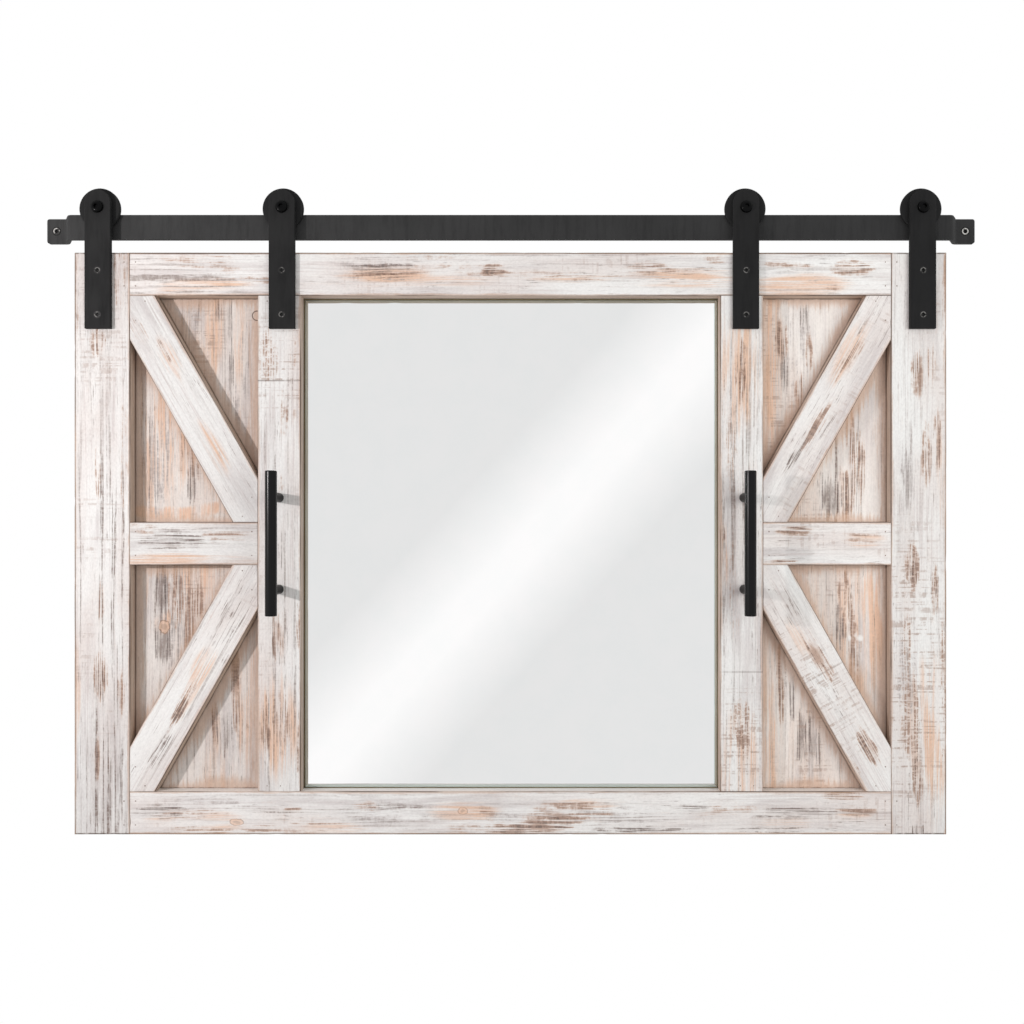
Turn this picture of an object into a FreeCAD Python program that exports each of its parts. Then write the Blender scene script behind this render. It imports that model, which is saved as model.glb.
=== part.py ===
import FreeCAD, Part
import math
import os

# Barn door wall mirror. A board frame holds a mirror between two braced door panels,
# and hangs by four roller straps from a flat bar that is screwed to the wall.
# Lengths are millimetres: +X right, +Y into the wall, +Z up, and the front faces -Y.
# The origin lies on the wall, midway between the two wall holes.

# Frame boards, seen from the front
MIRROR_OPENING_WIDTH = 440.0
OPENING_HEIGHT = 520.0
DOOR_OPENING_WIDTH = 134.0
OUTER_STILE_WIDTH = 58.0
INNER_STILE_WIDTH = 45.0
RAIL_WIDTH = 45.0
MID_RAIL_WIDTH = 45.0
BRACE_WIDTH = 46.0
BOARD_THICKNESS = 15.0
BOARD_EDGE_ROUND = 1.0

# Layer behind the boards
GLASS_THICKNESS = 3.0
GLASS_LAP = 10.0
BACKING_THICKNESS = 2.0
BAY_GAP = 5.0
PANEL_INSET = 3.0
CLIP_THICKNESS = 1.0
CLIP_BREADTH = 20.0
CLIP_REACH = 8.0
CLIP_HOLD = 13.0
CLIP_CORNER = 2.0
CLIP_SCREW_PITCH = 10.0
CLIP_SCREW_DIAMETER = 2.5
CLIP_SCREW_HEAD_DIAMETER = 5.0
CLIP_SCREW_HEAD_HEIGHT = 1.2
CLIP_SCREW_COVER = 0.5
CLIP_SCREW_POINT = 1.0
CLIP_SCREW_RECESS_WIDTH = 2.5
CLIP_SCREW_RECESS_SLOT = 0.6
SIDE_CLIP_SPACING = 300.0
RAIL_CLIP_SPACING = 240.0
BRAD_DIAMETER = 1.4
BRAD_SUNK = 0.4
BRAD_BITE = 3.0
BRAD_FROM_END = 6.0
BRAD_FROM_EDGE = 10.0
BRACE_BRAD_UP = 26.0
BRACE_BRAD_ACROSS = 16.0
BUMPER_DIAMETER = 20.0
BUMPER_INSET = 30.0
WALL_GAP = 3.0

# Track
BAR_HEIGHT = 26.0
BAR_THICKNESS = 4.5
JOGGLE_ANGLE = 57.0
BEND_RADIUS = 2.0
BAR_EDGE_BREAK = 0.4
TAB_LENGTH = 22.5
TAB_CORNER = 2.5
WALL_HOLE_DIAMETER = 5.0
WALL_HOLE_SINK_DIAMETER = 9.5
WALL_HOLE_FROM_END = 10.2
SLIDE_TRAVEL = 20.0
STOP_GAP = 2.0
TRACK_TO_FRAME = 15.3

# Roller hangers
STRAP_WIDTH = 27.0
STRAP_THICKNESS = 4.5
STRAP_ON_FRAME = 80.3
STRAP_ABOVE_AXLE = 18.3
STRAP_EDGE_BREAK = 0.4
STRAP_SCREW_FROM_END = 14.3
STRAP_SCREW_SPACING = 46.3
OUTER_HANGER_INSET = 26.0
INNER_HANGER_SHIFT = 3.8
STRAP_SCREW_DIAMETER = 3.8
STRAP_SCREW_HEAD_DIAMETER = 8.0
STRAP_SCREW_LENGTH = 17.5
STRAP_SCREW_POINT = 3.8
STRAP_SCREW_RECESS_WIDTH = 4.4
STRAP_SCREW_RECESS_SLOT = 1.1
STRAP_SCREW_RECESS_DEPTH = 1.4
ROLLER_DIAMETER = 43.0
ROLLER_DISC_THICKNESS = 4.0
ROLLER_HUB_DIAMETER = 9.6
ROLLER_RIM_BREAK = 0.8
AXLE_DIAMETER = 5.0
AXLE_HEAD_DIAMETER = 12.4
AXLE_HEAD_HEIGHT = 3.6
AXLE_HEAD_RIM = 0.8
AXLE_CROWN_DIAMETER = 6.2
AXLE_DOME_BULGE = 0.6
AXLE_SOCKET_WIDTH = 4.5
AXLE_SOCKET_DEPTH = 2.0
AXLE_END_PROUD = 0.8
AXLE_END_BREAK = 0.5
NUT_WIDTH = 8.0
NUT_HEIGHT = 4.2
NUT_CORNER_BREAK = 0.35
NUT_COLLAR_HEIGHT = 1.2
NUT_COLLAR_DIAMETER = 7.4
NUT_COLLAR_BREAK = 0.4
FRONT_WASHER_DIAMETER = 12.0
FRONT_WASHER_THICKNESS = 0.6
REAR_WASHER_DIAMETER = 20.0
REAR_WASHER_THICKNESS = 1.5

# Handles
HANDLE_DIAMETER = 12.0
HANDLE_LENGTH = 148.0
HANDLE_CENTRES = 96.0
HANDLE_STANDOFF = 30.0
RIGHT_HANDLE_SHIFT = 2.5
HANDLE_END_BREAK = 1.0
POST_DIAMETER = 10.0
SPIGOT_DIAMETER = 6.0
SPIGOT_DEPTH = 4.0
HANDLE_SCREW_DIAMETER = 4.0
HANDLE_SCREW_GRIP = 9.0
HANDLE_SCREW_HEAD_DIAMETER = 8.0
HANDLE_SCREW_HEAD_HEIGHT = 2.0
HANDLE_SCREW_RECESS_WIDTH = 4.0
HANDLE_SCREW_RECESS_SLOT = 1.0

# Fits
TURNING_CLEARANCE = 0.05
SCREW_CLEARANCE = 0.05
HOLE_CLEARANCE = 0.15
ROLLING_GAP = 0.15
BAR_SIDE_GAP = 0.5
ROLLER_END_PLAY = 0.2

# How far a cutter runs past a face, and how near two places count as the same
CUT_PAST = 1.0
SAME_PLACE = 0.001

# Depths, from the wall towards the front
PANEL_THICKNESS = GLASS_THICKNESS + BACKING_THICKNESS
PANEL_BACK = -WALL_GAP
BOARD_BACK = PANEL_BACK - PANEL_THICKNESS
FRAME_FRONT = BOARD_BACK - BOARD_THICKNESS
STRAP_FRONT = FRAME_FRONT - STRAP_THICKNESS
ROLLER_FRONT = FRAME_FRONT + FRONT_WASHER_THICKNESS + ROLLER_END_PLAY
BAR_FRONT = ROLLER_FRONT + ROLLER_DISC_THICKNESS + BAR_SIDE_GAP
BAR_BACK = BAR_FRONT + BAR_THICKNESS
ROLLER_BACK = BAR_BACK + BAR_SIDE_GAP
REAR_WASHER_FRONT = ROLLER_BACK + ROLLER_END_PLAY
NUT_FRONT = REAR_WASHER_FRONT + REAR_WASHER_THICKNESS
HANDLE_AXIS = FRAME_FRONT - HANDLE_STANDOFF

# Positions across, from the centre line
MIRROR_EDGE = MIRROR_OPENING_WIDTH / 2
INNER_STILE_EDGE = MIRROR_EDGE + INNER_STILE_WIDTH
INNER_STILE_CENTRE = MIRROR_EDGE + INNER_STILE_WIDTH / 2
DOOR_EDGE = INNER_STILE_EDGE + DOOR_OPENING_WIDTH
FRAME_EDGE = DOOR_EDGE + OUTER_STILE_WIDTH
GLASS_EDGE = MIRROR_EDGE + GLASS_LAP
PANEL_INNER_EDGE = GLASS_EDGE + BAY_GAP
PANEL_OUTER_EDGE = FRAME_EDGE - PANEL_INSET
OUTER_HANGER = FRAME_EDGE - OUTER_HANGER_INSET
HANGER_PLACES = {
    "left_outer": -OUTER_HANGER,
    "left_inner": INNER_HANGER_SHIFT - INNER_STILE_CENTRE,
    "right_inner": INNER_HANGER_SHIFT + INNER_STILE_CENTRE,
    "right_outer": OUTER_HANGER,
}
LEFT_HANDLE = -INNER_STILE_CENTRE
RIGHT_HANDLE = INNER_STILE_CENTRE + RIGHT_HANDLE_SHIFT

# Heights, from the middle of the bar
BAR_TOP = BAR_HEIGHT / 2
AXLE_HEIGHT = BAR_TOP + ROLLING_GAP + ROLLER_HUB_DIAMETER / 2
FRAME_TOP = -BAR_HEIGHT / 2 - TRACK_TO_FRAME
OPENING_TOP = FRAME_TOP - RAIL_WIDTH
OPENING_BOTTOM = OPENING_TOP - OPENING_HEIGHT
FRAME_BOTTOM = OPENING_BOTTOM - RAIL_WIDTH
FRAME_MIDDLE = (OPENING_TOP + OPENING_BOTTOM) / 2
MID_RAIL_TOP = FRAME_MIDDLE + MID_RAIL_WIDTH / 2
MID_RAIL_BOTTOM = FRAME_MIDDLE - MID_RAIL_WIDTH / 2
STRAP_BOTTOM = FRAME_TOP - STRAP_ON_FRAME
LOWER_STRAP_SCREW = STRAP_BOTTOM + STRAP_SCREW_FROM_END
UPPER_STRAP_SCREW = LOWER_STRAP_SCREW + STRAP_SCREW_SPACING
HANDLE_POST_HEIGHTS = (FRAME_MIDDLE + HANDLE_CENTRES / 2, FRAME_MIDDLE - HANDLE_CENTRES / 2)

WALLWARD = FreeCAD.Vector(0, 1, 0)


def block(x_range, y_range, z_range):
    """A box between two values on each axis, given in either order."""
    corner = FreeCAD.Vector(min(x_range), min(y_range), min(z_range))
    sides = [abs(ends[1] - ends[0]) for ends in (x_range, y_range, z_range)]
    return Part.makeBox(sides[0], sides[1], sides[2], corner)


def rod(diameter, x, z, y_start, y_end):
    """A round bar along Y between two depths."""
    return Part.makeCylinder(diameter / 2, y_end - y_start, FreeCAD.Vector(x, y_start, z), WALLWARD)


def turned(profile, x, z):
    """A solid turned about an axis along Y, from (radius, depth) corners.

    A corner with two more values is reached by an arc through that second point.
    """
    edges = []
    start = FreeCAD.Vector(profile[0][0], profile[0][1], 0)
    first = start
    for corner in profile[1:]:
        end = FreeCAD.Vector(corner[0], corner[1], 0)
        if len(corner) == 4:
            via = FreeCAD.Vector(corner[2], corner[3], 0)
            edges.append(Part.Arc(start, via, end).toShape())
        else:
            edges.append(Part.makeLine(start, end))
        start = end
    edges.append(Part.makeLine(start, first))
    face = Part.Face(Part.Wire(edges))
    solid = face.revolve(FreeCAD.Vector(0, 0, 0), WALLWARD, 360)
    solid.translate(FreeCAD.Vector(x, 0, z))
    return solid


def hexagon(width, x, z, y_start, y_end):
    """A six-sided bar along Y, measured across its flats."""
    reach = width / math.sqrt(3)
    corners = []
    for side in range(7):
        angle = math.radians(60 * side)
        corners.append(FreeCAD.Vector(x + reach * math.cos(angle), y_start, z + reach * math.sin(angle)))
    face = Part.Face(Part.makePolygon(corners))
    return face.extrude(FreeCAD.Vector(0, y_end - y_start, 0))


def edges_at_depth(shape, depth):
    """The edges that lie wholly at one depth."""
    flat = []
    for edge in shape.Edges:
        if max(abs(vertex.Y - depth) for vertex in edge.Vertexes) < SAME_PLACE:
            flat.append(edge)
    return flat


def board(x_range, z_range):
    """A frame board with its front edges eased."""
    blank = block(x_range, (FRAME_FRONT, BOARD_BACK), z_range)
    return blank.makeFillet(BOARD_EDGE_ROUND, edges_at_depth(blank, FRAME_FRONT))


def brace(door_corner, rail_corner):
    """A diagonal board from a door's outer corner to the mid rail at the inner stile."""
    run = rail_corner[0] - door_corner[0]
    rise = rail_corner[1] - door_corner[1]
    length = math.hypot(run, rise) + 4 * BRACE_WIDTH
    band = block((-length / 2, length / 2), (FRAME_FRONT, BOARD_BACK), (-BRACE_WIDTH / 2, BRACE_WIDTH / 2))
    band.rotate(FreeCAD.Vector(0, 0, 0), WALLWARD, -math.degrees(math.atan2(rise, run)))
    middle_x = (door_corner[0] + rail_corner[0]) / 2
    middle_z = (door_corner[1] + rail_corner[1]) / 2
    band.translate(FreeCAD.Vector(middle_x, 0, middle_z))
    recess = block(
        (door_corner[0], rail_corner[0]),
        (FRAME_FRONT, BOARD_BACK),
        (door_corner[1], rail_corner[1]),
    )
    blank = recess.common(band).Solids[0]
    return blank.makeFillet(BOARD_EDGE_ROUND, edges_at_depth(blank, FRAME_FRONT))


def mirrored(shape):
    """The same piece on the other side of the centre line."""
    return shape.mirror(FreeCAD.Vector(0, 0, 0), FreeCAD.Vector(1, 0, 0))


def cross_recess(width, slot, x, z, y_range):
    """The cutter for a cross driver recess."""
    across = (-width / 2, width / 2)
    narrow = (-slot / 2, slot / 2)
    upright = block([x + step for step in narrow], y_range, [z + step for step in across])
    level = block([x + step for step in across], y_range, [z + step for step in narrow])
    return upright.fuse(level)


def sink(hole_diameter, head_diameter, x, z, y_front, y_back):
    """The cutter for a hole with a 90 degree countersink at its front."""
    hole_radius = hole_diameter / 2
    head_radius = head_diameter / 2
    profile = [
        (0, y_front),
        (head_radius, y_front),
        (hole_radius, y_front + head_radius - hole_radius),
        (hole_radius, y_back),
        (0, y_back),
    ]
    return turned(profile, x, z)


def strap_screw(x, z):
    """A countersunk wood screw, flush with the strap."""
    head = STRAP_SCREW_HEAD_DIAMETER / 2
    shank = STRAP_SCREW_DIAMETER / 2
    tip = STRAP_FRONT + STRAP_SCREW_LENGTH
    profile = [
        (0, STRAP_FRONT),
        (head, STRAP_FRONT),
        (shank, STRAP_FRONT + head - shank),
        (shank, tip - STRAP_SCREW_POINT),
        (0, tip),
    ]
    recess_depth = (STRAP_FRONT - CUT_PAST, STRAP_FRONT + STRAP_SCREW_RECESS_DEPTH)
    recess = cross_recess(STRAP_SCREW_RECESS_WIDTH, STRAP_SCREW_RECESS_SLOT, x, z, recess_depth)
    return turned(profile, x, z).cut(recess)


def strap_screw_holes():
    """Pilot holes in the boards for every strap screw."""
    cutters = []
    for x in HANGER_PLACES.values():
        for z in (UPPER_STRAP_SCREW, LOWER_STRAP_SCREW):
            diameter = STRAP_SCREW_DIAMETER + 2 * SCREW_CLEARANCE
            tip = STRAP_FRONT + STRAP_SCREW_LENGTH
            cutters.append(rod(diameter, x, z, FRAME_FRONT - CUT_PAST, tip))
    return Part.makeCompound(cutters)


def handle_screw_holes():
    """Holes for the handle screws, through panel and stile."""
    cutters = []
    for x in (LEFT_HANDLE, RIGHT_HANDLE):
        for z in HANDLE_POST_HEIGHTS:
            diameter = HANDLE_SCREW_DIAMETER + 2 * HOLE_CLEARANCE
            cutters.append(rod(diameter, x, z, FRAME_FRONT - CUT_PAST, PANEL_BACK + CUT_PAST))
    return Part.makeCompound(cutters)


def clip_layout():
    """Each clip as (x, z, outward x, outward z) on the edge of the panel or strip behind it."""
    strip_edge = GLASS_LAP + BAY_GAP
    places = []
    for side in (-1, 1):
        for offset in (-SIDE_CLIP_SPACING / 2, SIDE_CLIP_SPACING / 2):
            places.append((side * PANEL_INNER_EDGE, FRAME_MIDDLE + offset, side, 0))
        for edge, outward in ((OPENING_TOP + strip_edge, 1), (OPENING_BOTTOM - strip_edge, -1)):
            places.append((side * RAIL_CLIP_SPACING / 2, edge, 0, outward))
    return places


def clip_screw_places():
    """The two screw centres of every clip."""
    centres = []
    for x, z, out_x, out_z in clip_layout():
        for along in (-CLIP_SCREW_PITCH / 2, CLIP_SCREW_PITCH / 2):
            screw_x = x + out_x * CLIP_HOLD / 2 + abs(out_z) * along
            screw_z = z + out_z * CLIP_HOLD / 2 + abs(out_x) * along
            centres.append((screw_x, screw_z))
    return centres


def clip_screw_holes(extra):
    """Cutters for the clip screws, wider than the screws by the given amount all round."""
    cutters = []
    deepest = BOARD_BACK + CLIP_SCREW_COVER
    past_clip = PANEL_BACK + CLIP_THICKNESS + CUT_PAST
    for x, z in clip_screw_places():
        cutters.append(rod(CLIP_SCREW_DIAMETER + 2 * extra, x, z, deepest, past_clip))
    return Part.makeCompound(cutters)


def backing_clips():
    """Flat steel clips that bridge from the panels and strips onto the mirror backing."""
    clips = []
    inward = CLIP_REACH + BAY_GAP
    half = CLIP_BREADTH / 2
    for x, z, out_x, out_z in clip_layout():
        if out_x:
            x_range = (x - out_x * inward, x + out_x * CLIP_HOLD)
            z_range = (z - half, z + half)
        else:
            x_range = (x - half, x + half)
            z_range = (z - out_z * inward, z + out_z * CLIP_HOLD)
        plate = block(x_range, (PANEL_BACK, PANEL_BACK + CLIP_THICKNESS), z_range)
        upright_edges = []
        for edge in plate.Edges:
            if abs(edge.Vertexes[0].Y - edge.Vertexes[-1].Y) > 0.5 * CLIP_THICKNESS:
                upright_edges.append(edge)
        clips.append(plate.makeFillet(CLIP_CORNER, upright_edges))
    return Part.makeCompound(clips).cut(clip_screw_holes(HOLE_CLEARANCE))


def clip_screws():
    """Pan-headed screws that hold the clips."""
    screws = []
    seat = PANEL_BACK + CLIP_THICKNESS
    head = CLIP_SCREW_HEAD_DIAMETER / 2
    shank = CLIP_SCREW_DIAMETER / 2
    tip = BOARD_BACK + CLIP_SCREW_COVER
    top = seat + CLIP_SCREW_HEAD_HEIGHT
    for x, z in clip_screw_places():
        profile = [
            (0, tip),
            (shank, tip + CLIP_SCREW_POINT),
            (shank, seat),
            (head, seat),
            (head, seat + CLIP_SCREW_HEAD_HEIGHT / 2),
            (head - CLIP_SCREW_HEAD_HEIGHT / 2, top),
            (0, top),
        ]
        recess_depth = (top - CLIP_SCREW_HEAD_HEIGHT / 2, top + CUT_PAST)
        recess = cross_recess(CLIP_SCREW_RECESS_WIDTH, CLIP_SCREW_RECESS_SLOT, x, z, recess_depth)
        screws.append(turned(profile, x, z).cut(recess))
    return Part.makeCompound(screws)


def track_bar():
    """The flat bar, its two joggles and the wall tabs."""
    slope = math.radians(JOGGLE_ANGLE)
    half_turn = math.tan(slope / 2)
    straight_end = OUTER_HANGER + REAR_WASHER_DIAMETER / 2 + SLIDE_TRAVEL + STOP_GAP
    bend_back = straight_end + BEND_RADIUS * half_turn
    bend_front = bend_back + BAR_THICKNESS * half_turn
    foot_back = bend_back - BAR_BACK / math.tan(slope)
    foot_front = foot_back + BAR_THICKNESS * half_turn
    end = foot_back + TAB_LENGTH
    right_side = [
        (bend_front, BAR_FRONT),
        (foot_front, -BAR_THICKNESS),
        (end, -BAR_THICKNESS),
        (end, 0),
        (foot_back, 0),
        (bend_back, BAR_BACK),
    ]
    left_side = [(-x, y) for x, y in reversed(right_side)]
    outline = []
    for x, y in right_side + left_side + right_side[:1]:
        outline.append(FreeCAD.Vector(x, y, -BAR_HEIGHT / 2))
    bar = Part.Face(Part.makePolygon(outline)).extrude(FreeCAD.Vector(0, 0, BAR_HEIGHT))

    inside_bends = []
    outside_bends = []
    for edge in bar.Edges:
        ends = edge.Vertexes
        if abs(ends[0].Z - ends[-1].Z) < 0.5 * BAR_HEIGHT:
            continue
        x = abs(ends[0].X)
        if min(abs(x - bend_back), abs(x - foot_front)) < SAME_PLACE:
            inside_bends.append(edge)
        elif min(abs(x - bend_front), abs(x - foot_back)) < SAME_PLACE:
            outside_bends.append(edge)
    bar = bar.makeFillet(BEND_RADIUS, inside_bends)
    outside_bends = [edge for edge in bar.Edges if matches_any(edge, outside_bends)]
    bar = bar.makeFillet(BEND_RADIUS + BAR_THICKNESS, outside_bends)

    tab_corners = []
    for edge in bar.Edges:
        ends = edge.Vertexes
        runs_through = abs(ends[0].Y - ends[-1].Y) > 0.9 * BAR_THICKNESS
        if runs_through and min(abs(vertex.X) for vertex in ends) > end - SAME_PLACE:
            tab_corners.append(edge)
    bar = bar.makeFillet(TAB_CORNER, tab_corners)

    rims = []
    for edge in bar.Edges:
        on_rim = all(abs(abs(vertex.Z) - BAR_TOP) < SAME_PLACE for vertex in edge.Vertexes)
        if on_rim and edge.Length > BAR_EDGE_BREAK:
            rims.append(edge)
    bar = bar.makeChamfer(BAR_EDGE_BREAK, rims)

    hole = end - WALL_HOLE_FROM_END
    for x in (-hole, hole):
        bar = bar.cut(sink(WALL_HOLE_DIAMETER, WALL_HOLE_SINK_DIAMETER, x, 0, -BAR_THICKNESS, CUT_PAST))
    return bar


def matches_any(edge, others):
    """Whether an edge has the same middle as one of the others."""
    return any(edge.CenterOfMass.sub(other.CenterOfMass).Length < SAME_PLACE for other in others)


def hanger(x):
    """A strap with a round top, an axle hole and two countersunk screw holes."""
    radius = STRAP_WIDTH / 2
    crown = AXLE_HEIGHT + STRAP_ABOVE_AXLE - radius
    corners = [
        FreeCAD.Vector(x - radius, STRAP_FRONT, crown),
        FreeCAD.Vector(x - radius, STRAP_FRONT, STRAP_BOTTOM),
        FreeCAD.Vector(x + radius, STRAP_FRONT, STRAP_BOTTOM),
        FreeCAD.Vector(x + radius, STRAP_FRONT, crown),
    ]
    top = FreeCAD.Vector(x, STRAP_FRONT, crown + radius)
    edges = [Part.makeLine(corners[step], corners[step + 1]) for step in range(3)]
    edges.append(Part.Arc(corners[3], top, corners[0]).toShape())
    strap = Part.Face(Part.Wire(edges)).extrude(FreeCAD.Vector(0, STRAP_THICKNESS, 0))
    strap = strap.makeChamfer(STRAP_EDGE_BREAK, edges_at_depth(strap, STRAP_FRONT))
    past_strap = FRAME_FRONT + CUT_PAST
    axle_hole = AXLE_DIAMETER + 2 * HOLE_CLEARANCE
    strap = strap.cut(rod(axle_hole, x, AXLE_HEIGHT, STRAP_FRONT - CUT_PAST, past_strap))
    for z in (UPPER_STRAP_SCREW, LOWER_STRAP_SCREW):
        hole = STRAP_SCREW_DIAMETER + 2 * SCREW_CLEARANCE
        head = STRAP_SCREW_HEAD_DIAMETER + 2 * SCREW_CLEARANCE
        strap = strap.cut(sink(hole, head, x, z, STRAP_FRONT, past_strap))
    return strap


def roller(x):
    """A disc that stands in front of the bar, and a hub that rolls on top of it."""
    bore = AXLE_DIAMETER / 2 + TURNING_CLEARANCE
    rim = ROLLER_DIAMETER / 2
    hub = ROLLER_HUB_DIAMETER / 2
    disc_back = ROLLER_FRONT + ROLLER_DISC_THICKNESS
    profile = [
        (bore, ROLLER_FRONT),
        (rim - ROLLER_RIM_BREAK, ROLLER_FRONT),
        (rim, ROLLER_FRONT + ROLLER_RIM_BREAK),
        (rim, disc_back - ROLLER_RIM_BREAK),
        (rim - ROLLER_RIM_BREAK, disc_back),
        (hub, disc_back),
        (hub, ROLLER_BACK),
        (bore, ROLLER_BACK),
    ]
    return turned(profile, x, AXLE_HEIGHT)


def axle_bolt(x):
    """A button-headed bolt with a hexagon socket."""
    head = AXLE_HEAD_DIAMETER / 2
    shank = AXLE_DIAMETER / 2
    crown = STRAP_FRONT - AXLE_HEAD_HEIGHT
    tip = NUT_FRONT + NUT_HEIGHT + AXLE_END_PROUD
    flat = AXLE_CROWN_DIAMETER / 2
    rim = STRAP_FRONT - AXLE_HEAD_RIM
    dome = ((flat + head) / 2 + AXLE_DOME_BULGE, (crown + rim) / 2 - AXLE_DOME_BULGE)
    profile = [
        (0, crown),
        (flat, crown),
        (head, rim, dome[0], dome[1]),
        (head, STRAP_FRONT),
        (shank, STRAP_FRONT),
        (shank, tip - AXLE_END_BREAK),
        (shank - AXLE_END_BREAK, tip),
        (0, tip),
    ]
    socket = hexagon(AXLE_SOCKET_WIDTH, x, AXLE_HEIGHT, crown - CUT_PAST, crown + AXLE_SOCKET_DEPTH)
    return turned(profile, x, AXLE_HEIGHT).cut(socket)


def ring(outer_diameter, thickness, x, y_front):
    """A washer on an axle."""
    bore = AXLE_DIAMETER / 2 + HOLE_CLEARANCE
    outer = outer_diameter / 2
    profile = [
        (bore, y_front),
        (outer, y_front),
        (outer, y_front + thickness),
        (bore, y_front + thickness),
    ]
    return turned(profile, x, AXLE_HEIGHT)


def axle_nut(x):
    """A lock nut: a hexagon with rounded corners and a plain collar behind it."""
    bore = AXLE_DIAMETER / 2 + SCREW_CLEARANCE
    half_width = NUT_WIDTH / 2
    point = NUT_WIDTH / math.sqrt(3)
    collar = NUT_COLLAR_DIAMETER / 2
    end = NUT_FRONT + NUT_HEIGHT
    shoulder = end - NUT_COLLAR_HEIGHT
    envelope = turned(
        [
            (bore, NUT_FRONT),
            (half_width, NUT_FRONT),
            (point, NUT_FRONT + NUT_CORNER_BREAK),
            (point, shoulder - NUT_CORNER_BREAK),
            (half_width, shoulder),
            (collar, shoulder),
            (collar, end - NUT_COLLAR_BREAK),
            (collar - NUT_COLLAR_BREAK, end),
            (bore, end),
        ],
        x,
        AXLE_HEIGHT,
    )
    return hexagon(NUT_WIDTH, x, AXLE_HEIGHT, NUT_FRONT, end).common(envelope)


def handle_post_spigot(x, z, extra):
    """The end of a post inside the handle bar, wider than the post's own by the given amount."""
    end = HANDLE_AXIS + HANDLE_DIAMETER / 2
    return rod(SPIGOT_DIAMETER + 2 * extra, x, z, end - SPIGOT_DEPTH - extra, end + CUT_PAST)


def handle_bar(x):
    """The round bar of a handle, with a blind hole for each post."""
    foot = FreeCAD.Vector(x, HANDLE_AXIS, FRAME_MIDDLE - HANDLE_LENGTH / 2)
    bar = Part.makeCylinder(HANDLE_DIAMETER / 2, HANDLE_LENGTH, foot, FreeCAD.Vector(0, 0, 1))
    rims = [edge for edge in bar.Edges if edge.Closed]
    bar = bar.makeFillet(HANDLE_END_BREAK, rims)
    for z in HANDLE_POST_HEIGHTS:
        bar = bar.cut(handle_post_spigot(x, z, SCREW_CLEARANCE))
    return bar


def handle_posts(x):
    """The two posts of a handle: shaped to the bar, drilled for the screws."""
    posts = []
    axis_foot = FreeCAD.Vector(x, HANDLE_AXIS, FRAME_MIDDLE - HANDLE_LENGTH / 2)
    bar_space = Part.makeCylinder(HANDLE_DIAMETER / 2, HANDLE_LENGTH, axis_foot, FreeCAD.Vector(0, 0, 1))
    for z in HANDLE_POST_HEIGHTS:
        post = rod(POST_DIAMETER, x, z, HANDLE_AXIS, FRAME_FRONT).cut(bar_space)
        post = post.fuse(handle_post_spigot(x, z, 0)).removeSplitter()
        tapped = rod(
            HANDLE_SCREW_DIAMETER + 2 * SCREW_CLEARANCE,
            x,
            z,
            FRAME_FRONT - HANDLE_SCREW_GRIP - CUT_PAST,
            FRAME_FRONT + CUT_PAST,
        )
        posts.append(post.cut(tapped))
    return Part.makeCompound(posts)


def handle_screws():
    """Machine screws from behind the panels into the handle posts."""
    screws = []
    head = HANDLE_SCREW_HEAD_DIAMETER / 2
    shank = HANDLE_SCREW_DIAMETER / 2
    top = PANEL_BACK + HANDLE_SCREW_HEAD_HEIGHT
    for x in (LEFT_HANDLE, RIGHT_HANDLE):
        for z in HANDLE_POST_HEIGHTS:
            profile = [
                (0, FRAME_FRONT - HANDLE_SCREW_GRIP),
                (shank, FRAME_FRONT - HANDLE_SCREW_GRIP),
                (shank, PANEL_BACK),
                (head, PANEL_BACK),
                (head, PANEL_BACK + HANDLE_SCREW_HEAD_HEIGHT / 2),
                (head - HANDLE_SCREW_HEAD_HEIGHT / 2, top),
                (0, top),
            ]
            recess_depth = (top - HANDLE_SCREW_HEAD_HEIGHT / 2, top + CUT_PAST)
            recess = cross_recess(HANDLE_SCREW_RECESS_WIDTH, HANDLE_SCREW_RECESS_SLOT, x, z, recess_depth)
            screws.append(turned(profile, x, z).cut(recess))
    return Part.makeCompound(screws)


def brad_places():
    """Two brads near each end of every board, where a panel lies behind."""
    rows = []
    rail_x = (DOOR_EDGE - BRAD_FROM_END, INNER_STILE_EDGE + BRAD_FROM_END)
    for rail_top, rail_bottom in ((FRAME_TOP, OPENING_TOP), (OPENING_BOTTOM, FRAME_BOTTOM)):
        for z in (rail_top - BRAD_FROM_EDGE, rail_bottom + BRAD_FROM_EDGE):
            rows.append((rail_x[0], z))
            rows.append((DOOR_EDGE + BRAD_FROM_END, z))
    for z in (MID_RAIL_TOP - BRAD_FROM_EDGE, MID_RAIL_BOTTOM + BRAD_FROM_EDGE):
        for x in rail_x:
            rows.append((x, z))
    for z in (OPENING_TOP - BRAD_FROM_END, OPENING_BOTTOM + BRAD_FROM_END):
        for x in (PANEL_INNER_EDGE + BRAD_FROM_END, INNER_STILE_EDGE - BRAD_FROM_EDGE):
            rows.append((x, z))
    for rail_edge, door_end in ((MID_RAIL_TOP, OPENING_TOP), (MID_RAIL_BOTTOM, OPENING_BOTTOM)):
        upward = math.copysign(1, door_end - rail_edge)
        for x_in, z_in in ((BRAD_FROM_END, BRACE_BRAD_UP), (BRACE_BRAD_ACROSS, BRAD_FROM_END)):
            rows.append((INNER_STILE_EDGE + x_in, rail_edge + upward * z_in))
            rows.append((DOOR_EDGE - x_in, door_end - upward * z_in))
    return rows


def brad_rods(diameter, start):
    """A rod at every brad, from a depth near the boards' faces into the layer behind."""
    rods = []
    for x, z in brad_places():
        for side in (-1, 1):
            rods.append(rod(diameter, side * x, z, start, BOARD_BACK + BRAD_BITE))
    return Part.makeCompound(rods)


def nailed(piece):
    """The piece with its brad holes."""
    return piece.cut(brad_rods(BRAD_DIAMETER + 2 * SCREW_CLEARANCE, FRAME_FRONT - CUT_PAST))


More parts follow.
